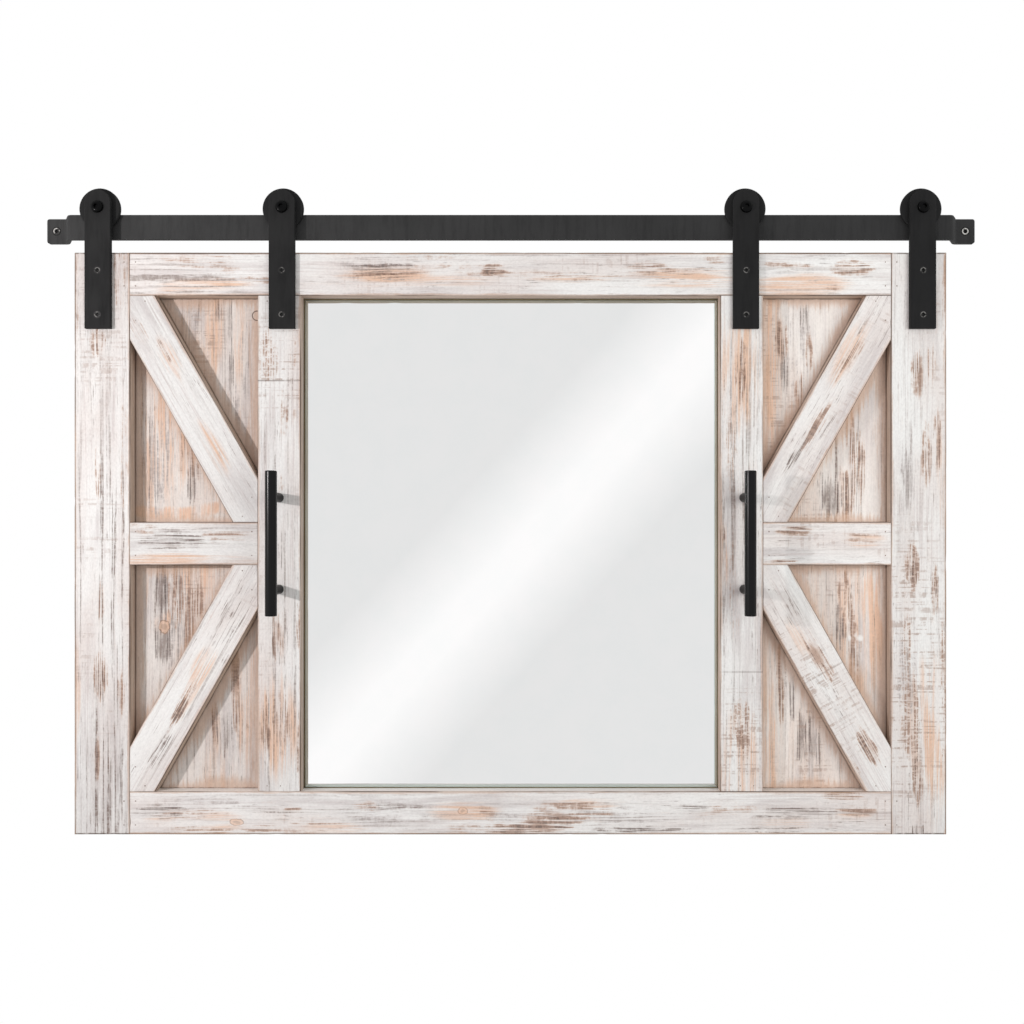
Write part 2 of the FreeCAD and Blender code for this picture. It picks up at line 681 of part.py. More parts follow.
def wall_bumpers():
    """Felt pads behind the lower corners."""
    pads = []
    for x in (-(FRAME_EDGE - BUMPER_INSET), FRAME_EDGE - BUMPER_INSET):
        pads.append(rod(BUMPER_DIAMETER, x, FRAME_BOTTOM + BUMPER_INSET, PANEL_BACK, 0))
    return Part.makeCompound(pads)


panel_depth = (BOARD_BACK, PANEL_BACK)
right_outer_stile = nailed(board((DOOR_EDGE, FRAME_EDGE), (FRAME_BOTTOM, FRAME_TOP)))
right_outer_stile = right_outer_stile.cut(strap_screw_holes())
right_inner_stile = nailed(board((MIRROR_EDGE, INNER_STILE_EDGE), (OPENING_BOTTOM, OPENING_TOP)))
inner_stile_holes = Part.makeCompound([strap_screw_holes(), handle_screw_holes()])
right_mid_rail = nailed(board((INNER_STILE_EDGE, DOOR_EDGE), (MID_RAIL_BOTTOM, MID_RAIL_TOP)))
right_upper_brace = nailed(brace((DOOR_EDGE, OPENING_TOP), (INNER_STILE_EDGE, MID_RAIL_TOP)))
right_lower_brace = nailed(brace((DOOR_EDGE, OPENING_BOTTOM), (INNER_STILE_EDGE, MID_RAIL_BOTTOM)))
top_rail = nailed(board((-DOOR_EDGE, DOOR_EDGE), (OPENING_TOP, FRAME_TOP)))
right_back_panel = block(
    (PANEL_INNER_EDGE, PANEL_OUTER_EDGE),
    panel_depth,
    (FRAME_BOTTOM + PANEL_INSET, FRAME_TOP - PANEL_INSET),
)
right_back_panel = nailed(right_back_panel).cut(clip_screw_holes(SCREW_CLEARANCE))
strip_span = (-PANEL_INNER_EDGE, PANEL_INNER_EDGE)
top_strip = block(strip_span, panel_depth, (OPENING_TOP + GLASS_LAP + BAY_GAP, FRAME_TOP - PANEL_INSET))
bottom_strip = block(
    strip_span, panel_depth, (FRAME_BOTTOM + PANEL_INSET, OPENING_BOTTOM - GLASS_LAP - BAY_GAP)
)
glass_span = (-GLASS_EDGE, GLASS_EDGE)
glass_height = (OPENING_BOTTOM - GLASS_LAP, OPENING_TOP + GLASS_LAP)
glass_back = BOARD_BACK + GLASS_THICKNESS

pieces = {
    "track_bar": track_bar(),
    "right_outer_stile": right_outer_stile,
    "left_outer_stile": mirrored(right_outer_stile),
    "top_rail": top_rail.cut(strap_screw_holes()),
    "bottom_rail": nailed(board((-DOOR_EDGE, DOOR_EDGE), (FRAME_BOTTOM, OPENING_BOTTOM))),
    "right_inner_stile": right_inner_stile.cut(inner_stile_holes),
    "left_inner_stile": mirrored(right_inner_stile).cut(inner_stile_holes),
    "right_mid_rail": right_mid_rail,
    "left_mid_rail": mirrored(right_mid_rail),
    "right_upper_brace": right_upper_brace,
    "left_upper_brace": mirrored(right_upper_brace),
    "right_lower_brace": right_lower_brace,
    "left_lower_brace": mirrored(right_lower_brace),
    "right_back_panel": right_back_panel.cut(handle_screw_holes()),
    "left_back_panel": mirrored(right_back_panel).cut(handle_screw_holes()),
    "top_back_strip": top_strip.cut(clip_screw_holes(SCREW_CLEARANCE)),
    "bottom_back_strip": bottom_strip.cut(clip_screw_holes(SCREW_CLEARANCE)),
    "brad_nails": brad_rods(BRAD_DIAMETER, FRAME_FRONT + BRAD_SUNK),
    "mirror_glass": block(glass_span, (BOARD_BACK, glass_back), glass_height),
    "mirror_backing": block(glass_span, (glass_back, PANEL_BACK), glass_height),
    "backing_clips": backing_clips(),
    "clip_screws": clip_screws(),
    "handle_screws": handle_screws(),
    "wall_bumpers": wall_bumpers(),
    "left_handle_bar": handle_bar(LEFT_HANDLE),
    "right_handle_bar": handle_bar(RIGHT_HANDLE),
    "left_handle_posts": handle_posts(LEFT_HANDLE),
    "right_handle_posts": handle_posts(RIGHT_HANDLE),
}
strap_screws = []
bolts = []
nuts = []
front_rings = []
rear_rings = []
for place, hanger_x in HANGER_PLACES.items():
    pieces[place + "_hanger"] = hanger(hanger_x)
    pieces[place + "_roller"] = roller(hanger_x)
    strap_screws.append(strap_screw(hanger_x, UPPER_STRAP_SCREW))
    strap_screws.append(strap_screw(hanger_x, LOWER_STRAP_SCREW))
    bolts.append(axle_bolt(hanger_x))
    nuts.append(axle_nut(hanger_x))
    front_rings.append(ring(FRONT_WASHER_DIAMETER, FRONT_WASHER_THICKNESS, hanger_x, FRAME_FRONT))
    rear_rings.append(ring(REAR_WASHER_DIAMETER, REAR_WASHER_THICKNESS, hanger_x, REAR_WASHER_FRONT))
pieces["hanger_screws"] = Part.makeCompound(strap_screws)
pieces["axle_bolts"] = Part.makeCompound(bolts)
pieces["axle_nuts"] = Part.makeCompound(nuts)
pieces["front_washers"] = Part.makeCompound(front_rings)
pieces["rear_washers"] = Part.makeCompound(rear_rings)

os.makedirs("parts", exist_ok=True)
for name, shape in pieces.items():
    shape.exportStep("parts/" + name + ".step")
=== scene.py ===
import math
import random

import bmesh
import bpy
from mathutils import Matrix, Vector
from mathutils import noise


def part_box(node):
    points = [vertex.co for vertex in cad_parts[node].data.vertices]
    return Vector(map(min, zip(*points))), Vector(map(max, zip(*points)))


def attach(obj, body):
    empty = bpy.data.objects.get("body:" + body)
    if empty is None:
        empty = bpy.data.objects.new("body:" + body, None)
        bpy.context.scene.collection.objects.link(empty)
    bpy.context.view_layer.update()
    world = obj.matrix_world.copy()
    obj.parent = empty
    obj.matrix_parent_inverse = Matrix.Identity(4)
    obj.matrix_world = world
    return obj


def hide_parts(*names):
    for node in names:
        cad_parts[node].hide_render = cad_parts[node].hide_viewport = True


# Barn door wall mirror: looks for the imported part. Lengths are metres, marks on the wood millimetres.

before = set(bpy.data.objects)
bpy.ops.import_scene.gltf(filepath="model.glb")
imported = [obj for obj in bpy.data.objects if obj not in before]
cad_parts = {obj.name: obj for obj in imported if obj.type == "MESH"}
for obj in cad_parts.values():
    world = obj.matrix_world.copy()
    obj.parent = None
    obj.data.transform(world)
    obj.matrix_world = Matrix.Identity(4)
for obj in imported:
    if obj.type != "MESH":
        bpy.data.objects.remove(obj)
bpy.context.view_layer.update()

MM = 0.001

# Board meshes: how the edges are worn and the faces sawn
BOARD_ROUND = 0.0010
PANEL_ROUND = 0.0006
ROUND_STEPS = 4
ROUND_SPREAD = 0.45
EDGE_STEP = 0.004
EDGE_REPEATS = 24
NICK_REPEATS = 3.1
NICK_START = 0.34
NICK_DEPTH = 4.0
BACK_BREAK = 0.0005
FRONT_BORDER = 0.0016
FRONT_GRID = 0.007
HOLLOW = 0.00022
HOLLOW_REPEATS = (14, 90)

# Paint: how far marks reach and lines wander, and where edges start and end to turn dark, bare or green;
# the dark at the foot of a side is painted shade
MARK_REACH = 3.6
SEED_STEP = 1.37
SEED_SKEW = 0.7
WANDER_ALONG = 0.030
WANDER_ACROSS = 0.007
KNOT_WOBBLE = 0.006
OUTER_EDGE = (0.0008, 0.0022)
LIP_EDGE = (0.0003, 0.0012)
FOOT_SHADE_START = 0.0034
FOOT_SHADE_END = 0.0018
SIDE_START = 0.0008
SIDE_END = 0.0030
GREEN_RIM = (0.0128, 0.0142)

# Hardware, pads and mirror. The felt pads' profile is in shares of their radius and thickness
PAD_PROFILE = ((0.8, 0), (0.95, 0.06), (0.975, 0.3), (0.97, 0.65), (0.93, 0.88), (0.84, 1), (0.45, 0.98))
BRAD_RADIUS = (0.00085, 0.00115)
GLASS_REFLECTION_DEPTH = -0.006
GROUND_EDGE = 0.0006
TAB_HOLE_X = 0.484958
TAB_FRONT = -0.0045
STRAP_SCREW_RADIUS = 0.004
WALL_SCREW_RADIUS = 0.0045

# Studio: the band of light in the mirror, by its plane's normal and where it fades, and the floor
BAND_NORMAL = (0.736, -0.009, -0.677)
BAND_FADE = (0.013, 0.0865)
FLOOR_RADIUS = 1.3
FLOOR_LEVEL = -1.53

# Worn places, joints, knots and filled holes on each board, by kind:
# middle x and z, half length along the grain, half width, strength
MARKS = {
    "left_outer_stile": {
        "brown": [
            (-454, -68, 42, 2.1, 0.8), (-411, -52, 26, 5.2, 0.5), (-432, -118, 15, 6.3, 0.8),
            (-432, -258, 23, 3.7, 0.7), (-406, -225, 63, 3.1, 0.4), (-428, -398, 17, 3.1, 0.8),
            (-429, -473, 23, 5.2, 0.95), (-433, -557, 17, 3.1, 0.8), (-407, -489, 19, 3.1, 0.6),
        ],
        "saw": [(-430, -131, 23, 27.2, 0.6), (-435, -293, 8, 26.2, 0.5), (-435, -338, 8, 26.2, 0.6)],
        "dark": [(-409, -565, 31, 3.1, 0.5), (-427, -621, 21, 25.2, 0.3)],
        "grey": [(-441, -183, 42, 14.7, 0.35)], "lines": [(-427, -487, 168, 31.4, 1)],
        "peach": [(-455, -487, 36, 3.1, 0.6)],
    },
    "right_outer_stile": {
        "brown": [
            (426, -154, 17, 4.2, 0.7), (441, -146, 17, 3.1, 0.6), (437, -234, 25, 4.2, 0.8),
            (448, -225, 23, 3.7, 0.8), (455, -78, 63, 2.1, 0.6), (422, -356, 17, 5.2, 0.9),
            (446, -374, 19, 3.1, 0.7), (420, -514, 40, 8, 0.5), (427, -576, 21, 5.2, 0.7),
            (454, -497, 63, 2.1, 0.6), (417, -434, 21, 3.1, 0.6),
        ],
        "grey": [(418, -235, 52, 6.3, 0.4), (414, -269, 26, 5.2, 0.5), (415, -468, 34, 7.3, 0.8)],
        "peach": [(453, -256, 47, 4.2, 0.5), (440, -520, 50, 15.7, 0.8), (443, -588, 34, 9, 0.4)],
        "saw": [(424, -345, 31, 25.2, 0.5), (425, -487, 79, 29.3, 1)], "dark": [(427, -634, 6, 6.3, 0.8)],
    },
    "top_rail": {
        "brown": [
            (-331, -39, 36, 9.4, 0.3), (-280, -56, 27, 7.3, 0.5), (-136, -51, 29, 5.2, 0.8),
            (-69, -42, 42, 10.5, 0.35), (-19, -48, 9, 5.2, 0.7), (54, -52, 52, 4.2, 0.6),
            (144, -44, 17, 5.2, 0.7), (190, -48, 29, 3.1, 0.55), (213, -36, 9, 4.2, 0.6),
            (291, -42, 25, 3.1, 0.6), (358, -44, 18, 5.8, 0.95), (338, -64, 8, 4.2, 0.5),
        ],
        "peach": [
            (-323, -66, 34, 7.3, 0.95), (-136, -50, 31, 6.3, 0.8), (-95, -59, 58, 4.2, 0.5),
            (73, -56, 34, 3.1, 0.5), (188, -55, 44, 7.3, 0.8), (302, -62, 38, 8.4, 0.85),
        ],
        "seam": [(-335, -28.8, 62, 0.9, 1), (120, -28.6, 120, 0.6, 0.8), (330, -28.8, 50, 0.8, 0.9)],
        "grey": [(-142, -55, 38, 4.2, 0.6), (-173, -35, 44, 6.3, 0.35), (322, -61, 17, 5.2, 0.5)],
        "dark": [(-372, -52, 31, 12.6, 0.15), (-138, -44, 31, 4.2, 0.85)],
        "lines": [(-345, -50, 60, 22, 0.5)], "white": [(-285, -68, 19, 4.2, 1)],
    },
    "bottom_rail": {
        "brown": [
            (-331, -616, 27, 4.2, 0.55), (-310, -634, 40, 3.1, 0.6), (-229, -612, 8, 2.6, 0.7),
            (-221, -630, 36, 4.2, 0.5), (-150, -609, 12, 4.2, 0.7), (-28, -616, 9, 6.3, 0.7),
            (-6, -631, 46, 4.2, 0.5), (68, -613, 31, 8.4, 0.6), (36, -625, 23, 7.3, 0.6),
            (15, -634, 29, 4.2, 0.7), (228, -610, 21, 7.3, 0.5), (364, -614, 14, 4.2, 0.7),
            (343, -597, 15, 3.1, 0.8),
        ],
        "dark": [
            (-367, -614, 19, 5.2, 0.85), (-252, -616, 25, 3.1, 0.4), (-116, -608, 25, 4.2, 0.45),
            (-184, -620, 19, 3.1, 0.4), (136, -633, 36, 3.1, 0.85), (194, -613, 15, 5.2, 0.7),
            (307, -615, 31, 5.2, 0.8), (283, -621, 23, 3.1, 0.6), (277, -634, 29, 3.1, 0.8),
        ],
        "peach": [
            (-367, -622, 12, 4.2, 0.6), (-302, -625, 19, 7.3, 0.5), (-51, -613, 27, 8.4, 0.8),
            (-189, -633, 25, 5.2, 0.5), (83, -605, 27, 3.1, 0.8), (293, -628, 21, 6.3, 0.5),
            (363, -619, 13, 3.1, 0.6),
        ],
        "grey": [
            (-322, -608, 46, 6.3, 0.5), (-128, -614, 46, 10.5, 0.6), (-11, -616, 15, 6.3, 0.5),
            (117, -618, 50, 11.5, 0.5),
        ],
        "knot": [(-287, -625.2, 4.5, 2.6, 1), (-50, -613.6, 3.6, 2.2, 1)],
    },
    "left_inner_stile": {
        "brown": [
            (-254, -133, 23, 8.4, 0.55), (-231, -133, 21, 5.2, 0.5), (-238, -209, 25, 4.2, 0.6),
            (-229, -193, 17, 3.1, 0.6), (-241, -272, 10, 2.6, 0.6), (-246, -428, 19, 3.1, 0.9),
            (-239, -426, 21, 3.1, 0.7), (-244, -519, 27, 11.5, 0.55), (-257, -525, 23, 3.1, 0.5),
            (-221, -550, 25, 2.6, 0.7), (-222, -413, 19, 2.1, 0.6),
        ],
        "lines": [(-236, -225, 79, 14.7, 0.6), (-241, -487, 94, 16.8, 0.6)],
        "peach": [(-243, -525, 38, 15.7, 0.7)], "seam": [(-242, -162.5, 0.6, 40, 0.6)],
        "saw": [(-245, -143, 38, 21, 0.9)], "dark": [(-239, -338, 17, 3.1, 0.7)],
        "grey": [(-243, -435, 23, 7.3, 0.4)],
    },
    "right_inner_stile": {
        "brown": [
            (243, -147, 27, 5.2, 0.7), (236, -205, 55, 13, 0.35), (225, -141, 40, 3.1, 0.5),
            (222, -323, 8, 2.6, 0.8), (229, -351, 29, 6.4, 0.3), (230, -434, 40, 6.4, 0.3),
            (240, -524, 25, 11.5, 0.7),
        ],
        "peach": [(242, -147, 46, 13.6, 0.9), (224, -330, 34, 4.2, 0.6), (237, -560, 36, 15.7, 0.6)],
        "lines": [(237, -214, 73, 15.7, 0.4), (236, -424, 115, 16.8, 0.4)],
        "grey": [(235, -288, 23, 10.5, 0.3)], "seam": [(243, -468, 0.6, 40, 0.35)],
        "white": [(240, -475, 34, 18, 0.5)], "saw": [(243, -550, 47, 18.9, 0.9)],
    },
    "left_mid_rail": {
        "peach": [(-364, -350, 36, 5.2, 0.85), (-309, -351, 42, 4.2, 0.6)],
        "brown": [(-299, -325, 19, 4.2, 0.5), (-383, -317, 13, 5.2, 0.4)],
        "dark": [(-354, -331, 27, 6.8, 0.85)], "grey": [(-336, -326, 40, 7.3, 0.55)],
    },
    "right_mid_rail": {
        "brown": [
            (296, -322, 14, 6.3, 0.7), (370, -326, 17, 7.3, 0.6), (283, -352, 14, 2.6, 0.9),
            (324, -316, 21, 3.1, 0.4),
        ],
        "peach": [(372, -331, 16, 5.2, 0.6)], "grey": [(303, -330, 23, 10.5, 0.1)],
    },
    "left_upper_brace": {
        "brown": [
            (-359, -135, 13, 4.2, 0.7), (-340, -169, 10, 3.1, 0.5), (-308, -237, 15, 4.2, 0.5),
            (-386, -116, 15, 4.2, 0.5),
        ],
        "peach": [(-356, -140, 19, 6.3, 0.6), (-308, -237, 23, 6.3, 0.8)],
        "lines": [(-325, -193, 84, 16.8, 0.1)], "dark": [(-312, -212, 25, 3.1, 0.4)],
    },
    "left_lower_brace": {
        "dark": [
            (-296, -407, 10, 5.2, 0.85), (-318, -401, 15, 4.2, 0.5), (-367, -549, 19, 5.2, 0.8),
            (-289, -425, 21, 3.1, 0.5),
        ],
        "brown": [(-343, -498, 18, 6.3, 0.75), (-352, -518, 17, 4.2, 0.55)],
        "peach": [(-323, -462, 16, 7.3, 0.8), (-335, -487, 19, 5.2, 0.6)],
        "lines": [(-336, -478, 73, 16.8, 0.3)],
    },
    "right_upper_brace": {
        "brown": [(359, -133, 14, 5.2, 0.6), (347, -153, 14, 4.2, 0.5), (322, -207, 21, 4.7, 0.8)],
        "dark": [(305, -226, 15, 7.3, 0.75), (298, -243, 10, 4.2, 0.7), (371, -101, 14, 2.1, 0.7)],
        "peach": [(356, -131, 27, 9.4, 0.6)], "grey": [(293, -268, 18, 9.4, 0.4)],
    },
    "right_lower_brace": {
        "brown": [
            (327, -461, 16, 5.2, 0.9), (316, -445, 15, 7.3, 0.5), (374, -548, 15, 5.8, 1.1),
            (361, -569, 8, 3.1, 0.6),
        ],
        "dark": [(301, -406, 19, 5.2, 0.6), (340, -498, 29, 6.3, 0.55)],
        "peach": [(303, -435, 15, 7.3, 0.4)], "seam": [(326, -470, 0.6, 24, 0.25)],
        "saw": [(331, -489, 48, 18.9, 0.7)],
    },
    "left_back_panel": {
        "dark": [
            (-388, -186, 15, 3.2, 0.9), (-337, -271, 15, 5.3, 0.8), (-299, -91, 18, 2.7, 0.9),
            (-311, -83, 11, 2.7, 0.8), (-332, -85, 13, 3.7, 0.8), (-297, -149, 36, 2.1, 0.7),
            (-373, -383, 23, 5.3, 1.2), (-370, -442, 15, 7.4, 1.2), (-303, -533, 21, 5.3, 0.8),
        ],
        "peach": [
            (-362, -223, 48, 11.7, 0.7), (-347, -301, 5, 47.9, 0.9), (-384, -202, 69, 4.3, 0.6),
            (-315, -106, 36, 6.4, 1), (-288, -117, 34, 5.3, 0.9), (-369, -422, 9, 6.4, 1),
            (-331, -367, 17, 14.9, 0.7), (-282, -500, 48, 7.4, 0.7),
        ],
        "brown": [
            (-341, -244, 30, 7.4, 0.5), (-357, -393, 27, 6.4, 0.8), (-341, -415, 36, 4.3, 0.7),
            (-331, -393, 23, 3.2, 0.7), (-292, -479, 36, 4.3, 0.8), (-313, -522, 17, 4.3, 0.9),
            (-285, -537, 21, 5.3, 0.7),
        ],
        "grey": [
            (-373, -255, 43, 13.8, 0.6), (-281, -133, 36, 5.3, 0.8), (-294, -183, 47, 5.3, 0.6),
            (-341, -106, 23, 9.6, 0.5), (-357, -417, 43, 14.9, 0.9), (-294, -502, 36, 9.6, 0.5),
        ],
        "lines": [(-368, -207, 64, 19.2, 0.8)], "white": [(-317, -576, 15, 23.4, 0.6)],
        "hole": [(-270, -91, 4.4, 4.4, 1)], "knot": [(-369, -422, 5, 3.6, 1)],
    },
    "right_back_panel": {
        "brown": [
            (290, -117, 17, 5.3, 0.9), (329, -88, 15, 4.3, 0.5), (316, -127, 17, 4.3, 0.7),
            (308, -166, 15, 4.3, 0.7), (356, -282, 23, 7.4, 1.1), (361, -215, 23, 4.3, 0.6),
            (371, -255, 27, 5.3, 0.9), (356, -396, 36, 5.3, 0.7), (366, -448, 36, 5.3, 0.7),
            (287, -481, 36, 3.2, 0.8),
        ],
        "dark": [
            (313, -93, 13, 3.7, 0.9), (294, -150, 17, 5.3, 0.7), (343, -287, 15, 7.4, 1.4),
            (331, -277, 17, 4.3, 0.8), (348, -426, 21, 5.3, 0.8), (342, -383, 15, 2.1, 0.8),
            (313, -538, 23, 8.5, 0.95), (329, -549, 17, 6.4, 0.75), (297, -491, 23, 5.3, 0.7),
        ],
        "peach": [
            (278, -140, 69, 7.4, 0.9), (373, -436, 47, 16, 0.7), (385, -396, 36, 7.4, 0.6),
            (276, -545, 69, 7.4, 0.8),
        ],
        "white": [(378, -183, 23, 9.6, 0.5), (384, -485, 30, 9, 0.6), (302, -581, 10, 23.4, 0.6)],
        "plug": [(360.3, -434, 2.2, 1.2, 1), (371.5, -434, 2.4, 2.2, 1)],
        "grey": [(302, -130, 36, 11.7, 0.6), (281, -459, 21, 6.4, 0.5)],
        "lines": [(361, -266, 59, 21.3, 0.8)],
    },
}


def srgb(red, green, blue):
    """A display colour, 0 to 255, as the linear colour that shaders take."""
    linear = []
    for channel in (red, green, blue):
        share = channel / 255
        linear.append(share / 12.92 if share <= 0.04045 else ((share + 0.055) / 1.055) ** 2.4)
    return (linear[0], linear[1], linear[2], 1)


class Tree:
    """Adds nodes to a material, world or group, and hands back their output sockets."""

    def __init__(self, node_tree, owner=None):
        self.nodes = node_tree.nodes
        self.links = node_tree.links
        self.owner = owner

    def add(self, kind, inputs=None, **settings):
        node = self.nodes.new(kind)
        for name, setting in settings.items():
            setattr(node, name, setting)
        for name, value in (inputs or {}).items():
            if isinstance(value, bpy.types.NodeSocket):
                self.links.new(value, node.inputs[name])
            else:
                node.inputs[name].default_value = value
        return node

    def math(self, operation, first, second=0, third=0, clamp=False):
        inputs = {0: first, 1: second, 2: third}
        return self.add("ShaderNodeMath", inputs, operation=operation, use_clamp=clamp).outputs[0]

    def plus(self, first, second, clamp=False):
        return self.math("ADD", first, second, clamp=clamp)

    def less(self, first, second):
        return self.math("SUBTRACT", first, second)

    def times(self, first, second, clamp=False):
        return self.math("MULTIPLY", first, second, clamp=clamp)

    def times_plus(self, first, second, third, clamp=False):
        return self.math("MULTIPLY_ADD", first, second, third, clamp)

    def off(self, first, second):
        """How far one value is from another, either way."""
        return self.math("ABSOLUTE", self.less(first, second))

    def dot(self, first, second):
        node = self.add("ShaderNodeVectorMath", {0: first, 1: second}, operation="DOT_PRODUCT")
        return node.outputs["Value"]

    def combine(self, x, y, z):
        return self.add("ShaderNodeCombineXYZ", {0: x, 1: y, 2: z}).outputs[0]

    def split(self, vector):
        return self.add("ShaderNodeSeparateXYZ", {0: vector}).outputs

    def noise(self, vector, factors, detail=2, roughness=0.5):
        scaled = self.add("ShaderNodeVectorMath", {0: vector, 1: factors}, operation="MULTIPLY").outputs[0]
        inputs = {"Vector": scaled, "Scale": 1, "Detail": detail, "Roughness": roughness}
        return self.add("ShaderNodeTexNoise", inputs)

    def grain(self, *settings):
        """One noise value at so many repeats a metre in each direction."""
        return self.noise(*settings).outputs[0]

    def grains(self, *settings):
        """Three unlike noise values at once."""
        return self.split(self.noise(*settings).outputs[1])

    def ease(self, value, low, high, start=0, end=1, way="SMOOTHSTEP"):
        """start below low, end above high, and a smooth step or a straight line between."""
        inputs = {"Value": value, "From Min": low, "From Max": high, "To Min": start, "To Max": end}
        return self.add("ShaderNodeMapRange", inputs, interpolation_type=way).outputs[0]

    def mix(self, factor, first, second):
        return self.add("ShaderNodeMix", {0: factor, 6: first, 7: second}, data_type="RGBA").outputs[2]

    def shade(self, colour, factor):
        """A colour made darker or lighter by a factor."""
        inputs = {0: 1, 6: colour, 7: self.combine(factor, factor, factor)}
        return self.add("ShaderNodeMix", inputs, data_type="RGBA", blend_type="MULTIPLY").outputs[2]

    def ramp(self, value, stops):
        """A colour that runs through (place, colour) stops."""
        node = self.add("ShaderNodeValToRGB", {0: value})
        elements = node.color_ramp.elements
        while len(elements) < len(stops):
            elements.new(0.5)
        for element, (position, colour) in zip(elements, stops):
            element.position = position
            element.color = colour
        return node.outputs[0]

    def surface(self, colour, rough, settings=None, bump=None):
        """Ends a material in its shader and hands it back. A bump is height, distance and strength."""
        inputs = {"Base Color": colour, "Roughness": rough}
        inputs.update(settings or {})
        if bump:
            bumped = dict(zip(("Height", "Distance", "Strength"), bump))
            inputs["Normal"] = self.add("ShaderNodeBump", bumped).outputs[0]
        shader = self.add("ShaderNodeBsdfPrincipled", inputs)
        self.add("ShaderNodeOutputMaterial", {0: shader.outputs[0]})
        return self.owner


def empty_tree(owner):
    """The nodes of a new material or world, all taken out."""
    owner.use_nodes = True
    owner.node_tree.nodes.clear()
    return Tree(owner.node_tree, owner)


def new_material(name):
    """The tree of a new material, and the place on the piece that its nodes start from."""
    tree = empty_tree(bpy.data.materials.new(name))
    return tree, tree.add("ShaderNodeTexCoord").outputs["Object"]


def make_mark_group():
    """Node group that adds one soft oval wear mark to a running sum."""
    group = bpy.data.node_groups.new("wear_mark", "ShaderNodeTree")
    names = ("Sum", "Along", "Across", "Mid along", "Mid across", "Half length", "Half width", "Strength")
    for name in names:
        group.interface.new_socket(name, in_out="INPUT", socket_type="NodeSocketFloat")
    group.interface.new_socket("Sum", in_out="OUTPUT", socket_type="NodeSocketFloat")
    tree = Tree(group)
    given = tree.add("NodeGroupInput").outputs
    squares = []
    ways = (("Along", "Mid along", "Half length"), ("Across", "Mid across", "Half width"))
    for place, centre, half in ways:
        share = tree.math("DIVIDE", tree.less(given[place], given[centre]), given[half])
        squares.append(tree.times(share, share))
    inside = tree.ease(tree.plus(squares[0], squares[1]), 0, MARK_REACH, 1, 0)
    total = tree.times_plus(inside, given["Strength"], given["Sum"])
    tree.add("NodeGroupOutput", {0: total})
    return group


mark_group = make_mark_group()


def summed_marks(tree, marks, along, across, grain):
    """The sum of a board's marks of one kind, each given in millimetres in the part's frame."""
    total = 0
    for x, z, half_length, half_width, strength in marks:
        inputs = {
            "Along": along,
            "Across": across,
            "Sum": total,
            "Mid along": (x * math.cos(grain) + z * math.sin(grain)) * MM,
            "Mid across": (z * math.cos(grain) - x * math.sin(grain)) * MM,
            "Half length": half_length * MM,
            "Half width": half_width * MM,
            "Strength": strength,
        }
        total = tree.add("ShaderNodeGroup", inputs, node_tree=mark_group).outputs[0]
    return total


# Paint, bare wood and the green of the glass, as display colours
PAINT_LIGHT = srgb(251, 250, 248)
PAINT_DULL = srgb(240, 232, 228)
PANEL_LIGHT = srgb(246, 240, 235)
PANEL_DULL = srgb(236, 222, 213)
BRUSH_SHADE = srgb(214, 202, 199)
LILAC = srgb(205, 196, 195)
PEACH = srgb(240, 200, 172)
GREY_RAMP = [(0, srgb(214, 206, 203)), (0.5, srgb(182, 172, 169)), (1, srgb(138, 128, 124))]
BROWN_RAMP = [
    (0, srgb(226, 204, 190)), (0.4, srgb(196, 165, 147)),
    (0.75, srgb(156, 126, 110)), (1, srgb(116, 92, 80)),
]
DARK_RAMP = [(0, srgb(208, 198, 194)), (0.45, srgb(152, 138, 132)), (1, srgb(92, 80, 76))]
GRAIN_LINE = srgb(128, 108, 99)
SAW_MARK = srgb(176, 150, 136)
CRACK = srgb(132, 114, 106)
EDGE_TAN = srgb(212, 176, 150)
# Dark of worn outer edges and lips, and painted shade at the foot of the sides
EDGE_DARK_AND_FOOT_SHADE = srgb(92, 73, 62)
SEAM = srgb(104, 84, 74)
KNOT = srgb(150, 112, 88)
SIDE_WASH = srgb(212, 194, 179)
SIDE_BARE = srgb(186, 160, 142)
RAW_WOOD = srgb(206, 170, 132)
RAW_WOOD_DEEP = srgb(172, 130, 92)
RIM_GREEN = srgb(220, 234, 230)

# Each board: seed, how worn it is, how much peach shows through, how strong its grain lines are, brightness
BOARDS = {
    "left_outer_stile": (1, 0.04, 0.1, 0.35, 0.885),
    "right_outer_stile": (2, 0.18, 0.2, 0.3, 0.93),
    "top_rail": (3, 0.04, 0.12, 0.35, 1),
    "bottom_rail": (4, 0.14, 0.1, 0.3, 1),
    "left_inner_stile": (5, 0.05, 0.26, 0.28, 0.92),
    "right_inner_stile": (6, 0.06, 0.34, 0.28, 0.96),
    "left_mid_rail": (7, 0.24, 0.18, 0.3, 0.865),
    "right_mid_rail": (8, -0.14, 0.06, 0.18, 1.01),
    "left_upper_brace": (9, -0.05, 0.08, 0.08, 0.87),
    "left_lower_brace": (10, 0.01, 0.1, 0.25, 0.95),
    "right_upper_brace": (11, -0.03, 0.06, 0.12, 1),
    "right_lower_brace": (12, 0.01, 0.06, 0.25, 0.98),
}
PANELS = {
    "left_back_panel": (21, 0.08, 0.55, 0.45, 0.89),
    "right_back_panel": (22, -0.02, 0.34, 0.36, 1.045),
}
BACK_STRIPS = {
    "top_back_strip": (31, 0.02, 0.3, 0.3, 1),
    "bottom_back_strip": (32, 0.02, 0.3, 0.3, 1),
}

# Paint of boards and of panels: its two colours, and how strong or wide each kind of wear is; a panel's
# wide tan rim also stands for painted warm shade in its recess corners
LOOKS = {
    "paint": ((PAINT_LIGHT, PAINT_DULL), (PANEL_LIGHT, PANEL_DULL)),
    "grey": (0.6, 0.7),
    "faint": (0.22, 0.3),
    "deep": (0.85, 0.8),
    "dashes": (45, 24),
    "scored": (0.45, 0.9),
    "rim": (0.0022, 0.011),
    "edge": (0.55, 0.62),
    "lip": (0.9, 0.6),
}
BOARD_LOOK = {name: pair[0] for name, pair in LOOKS.items()}
PANEL_LOOK = {name: pair[1] for name, pair in LOOKS.items()}


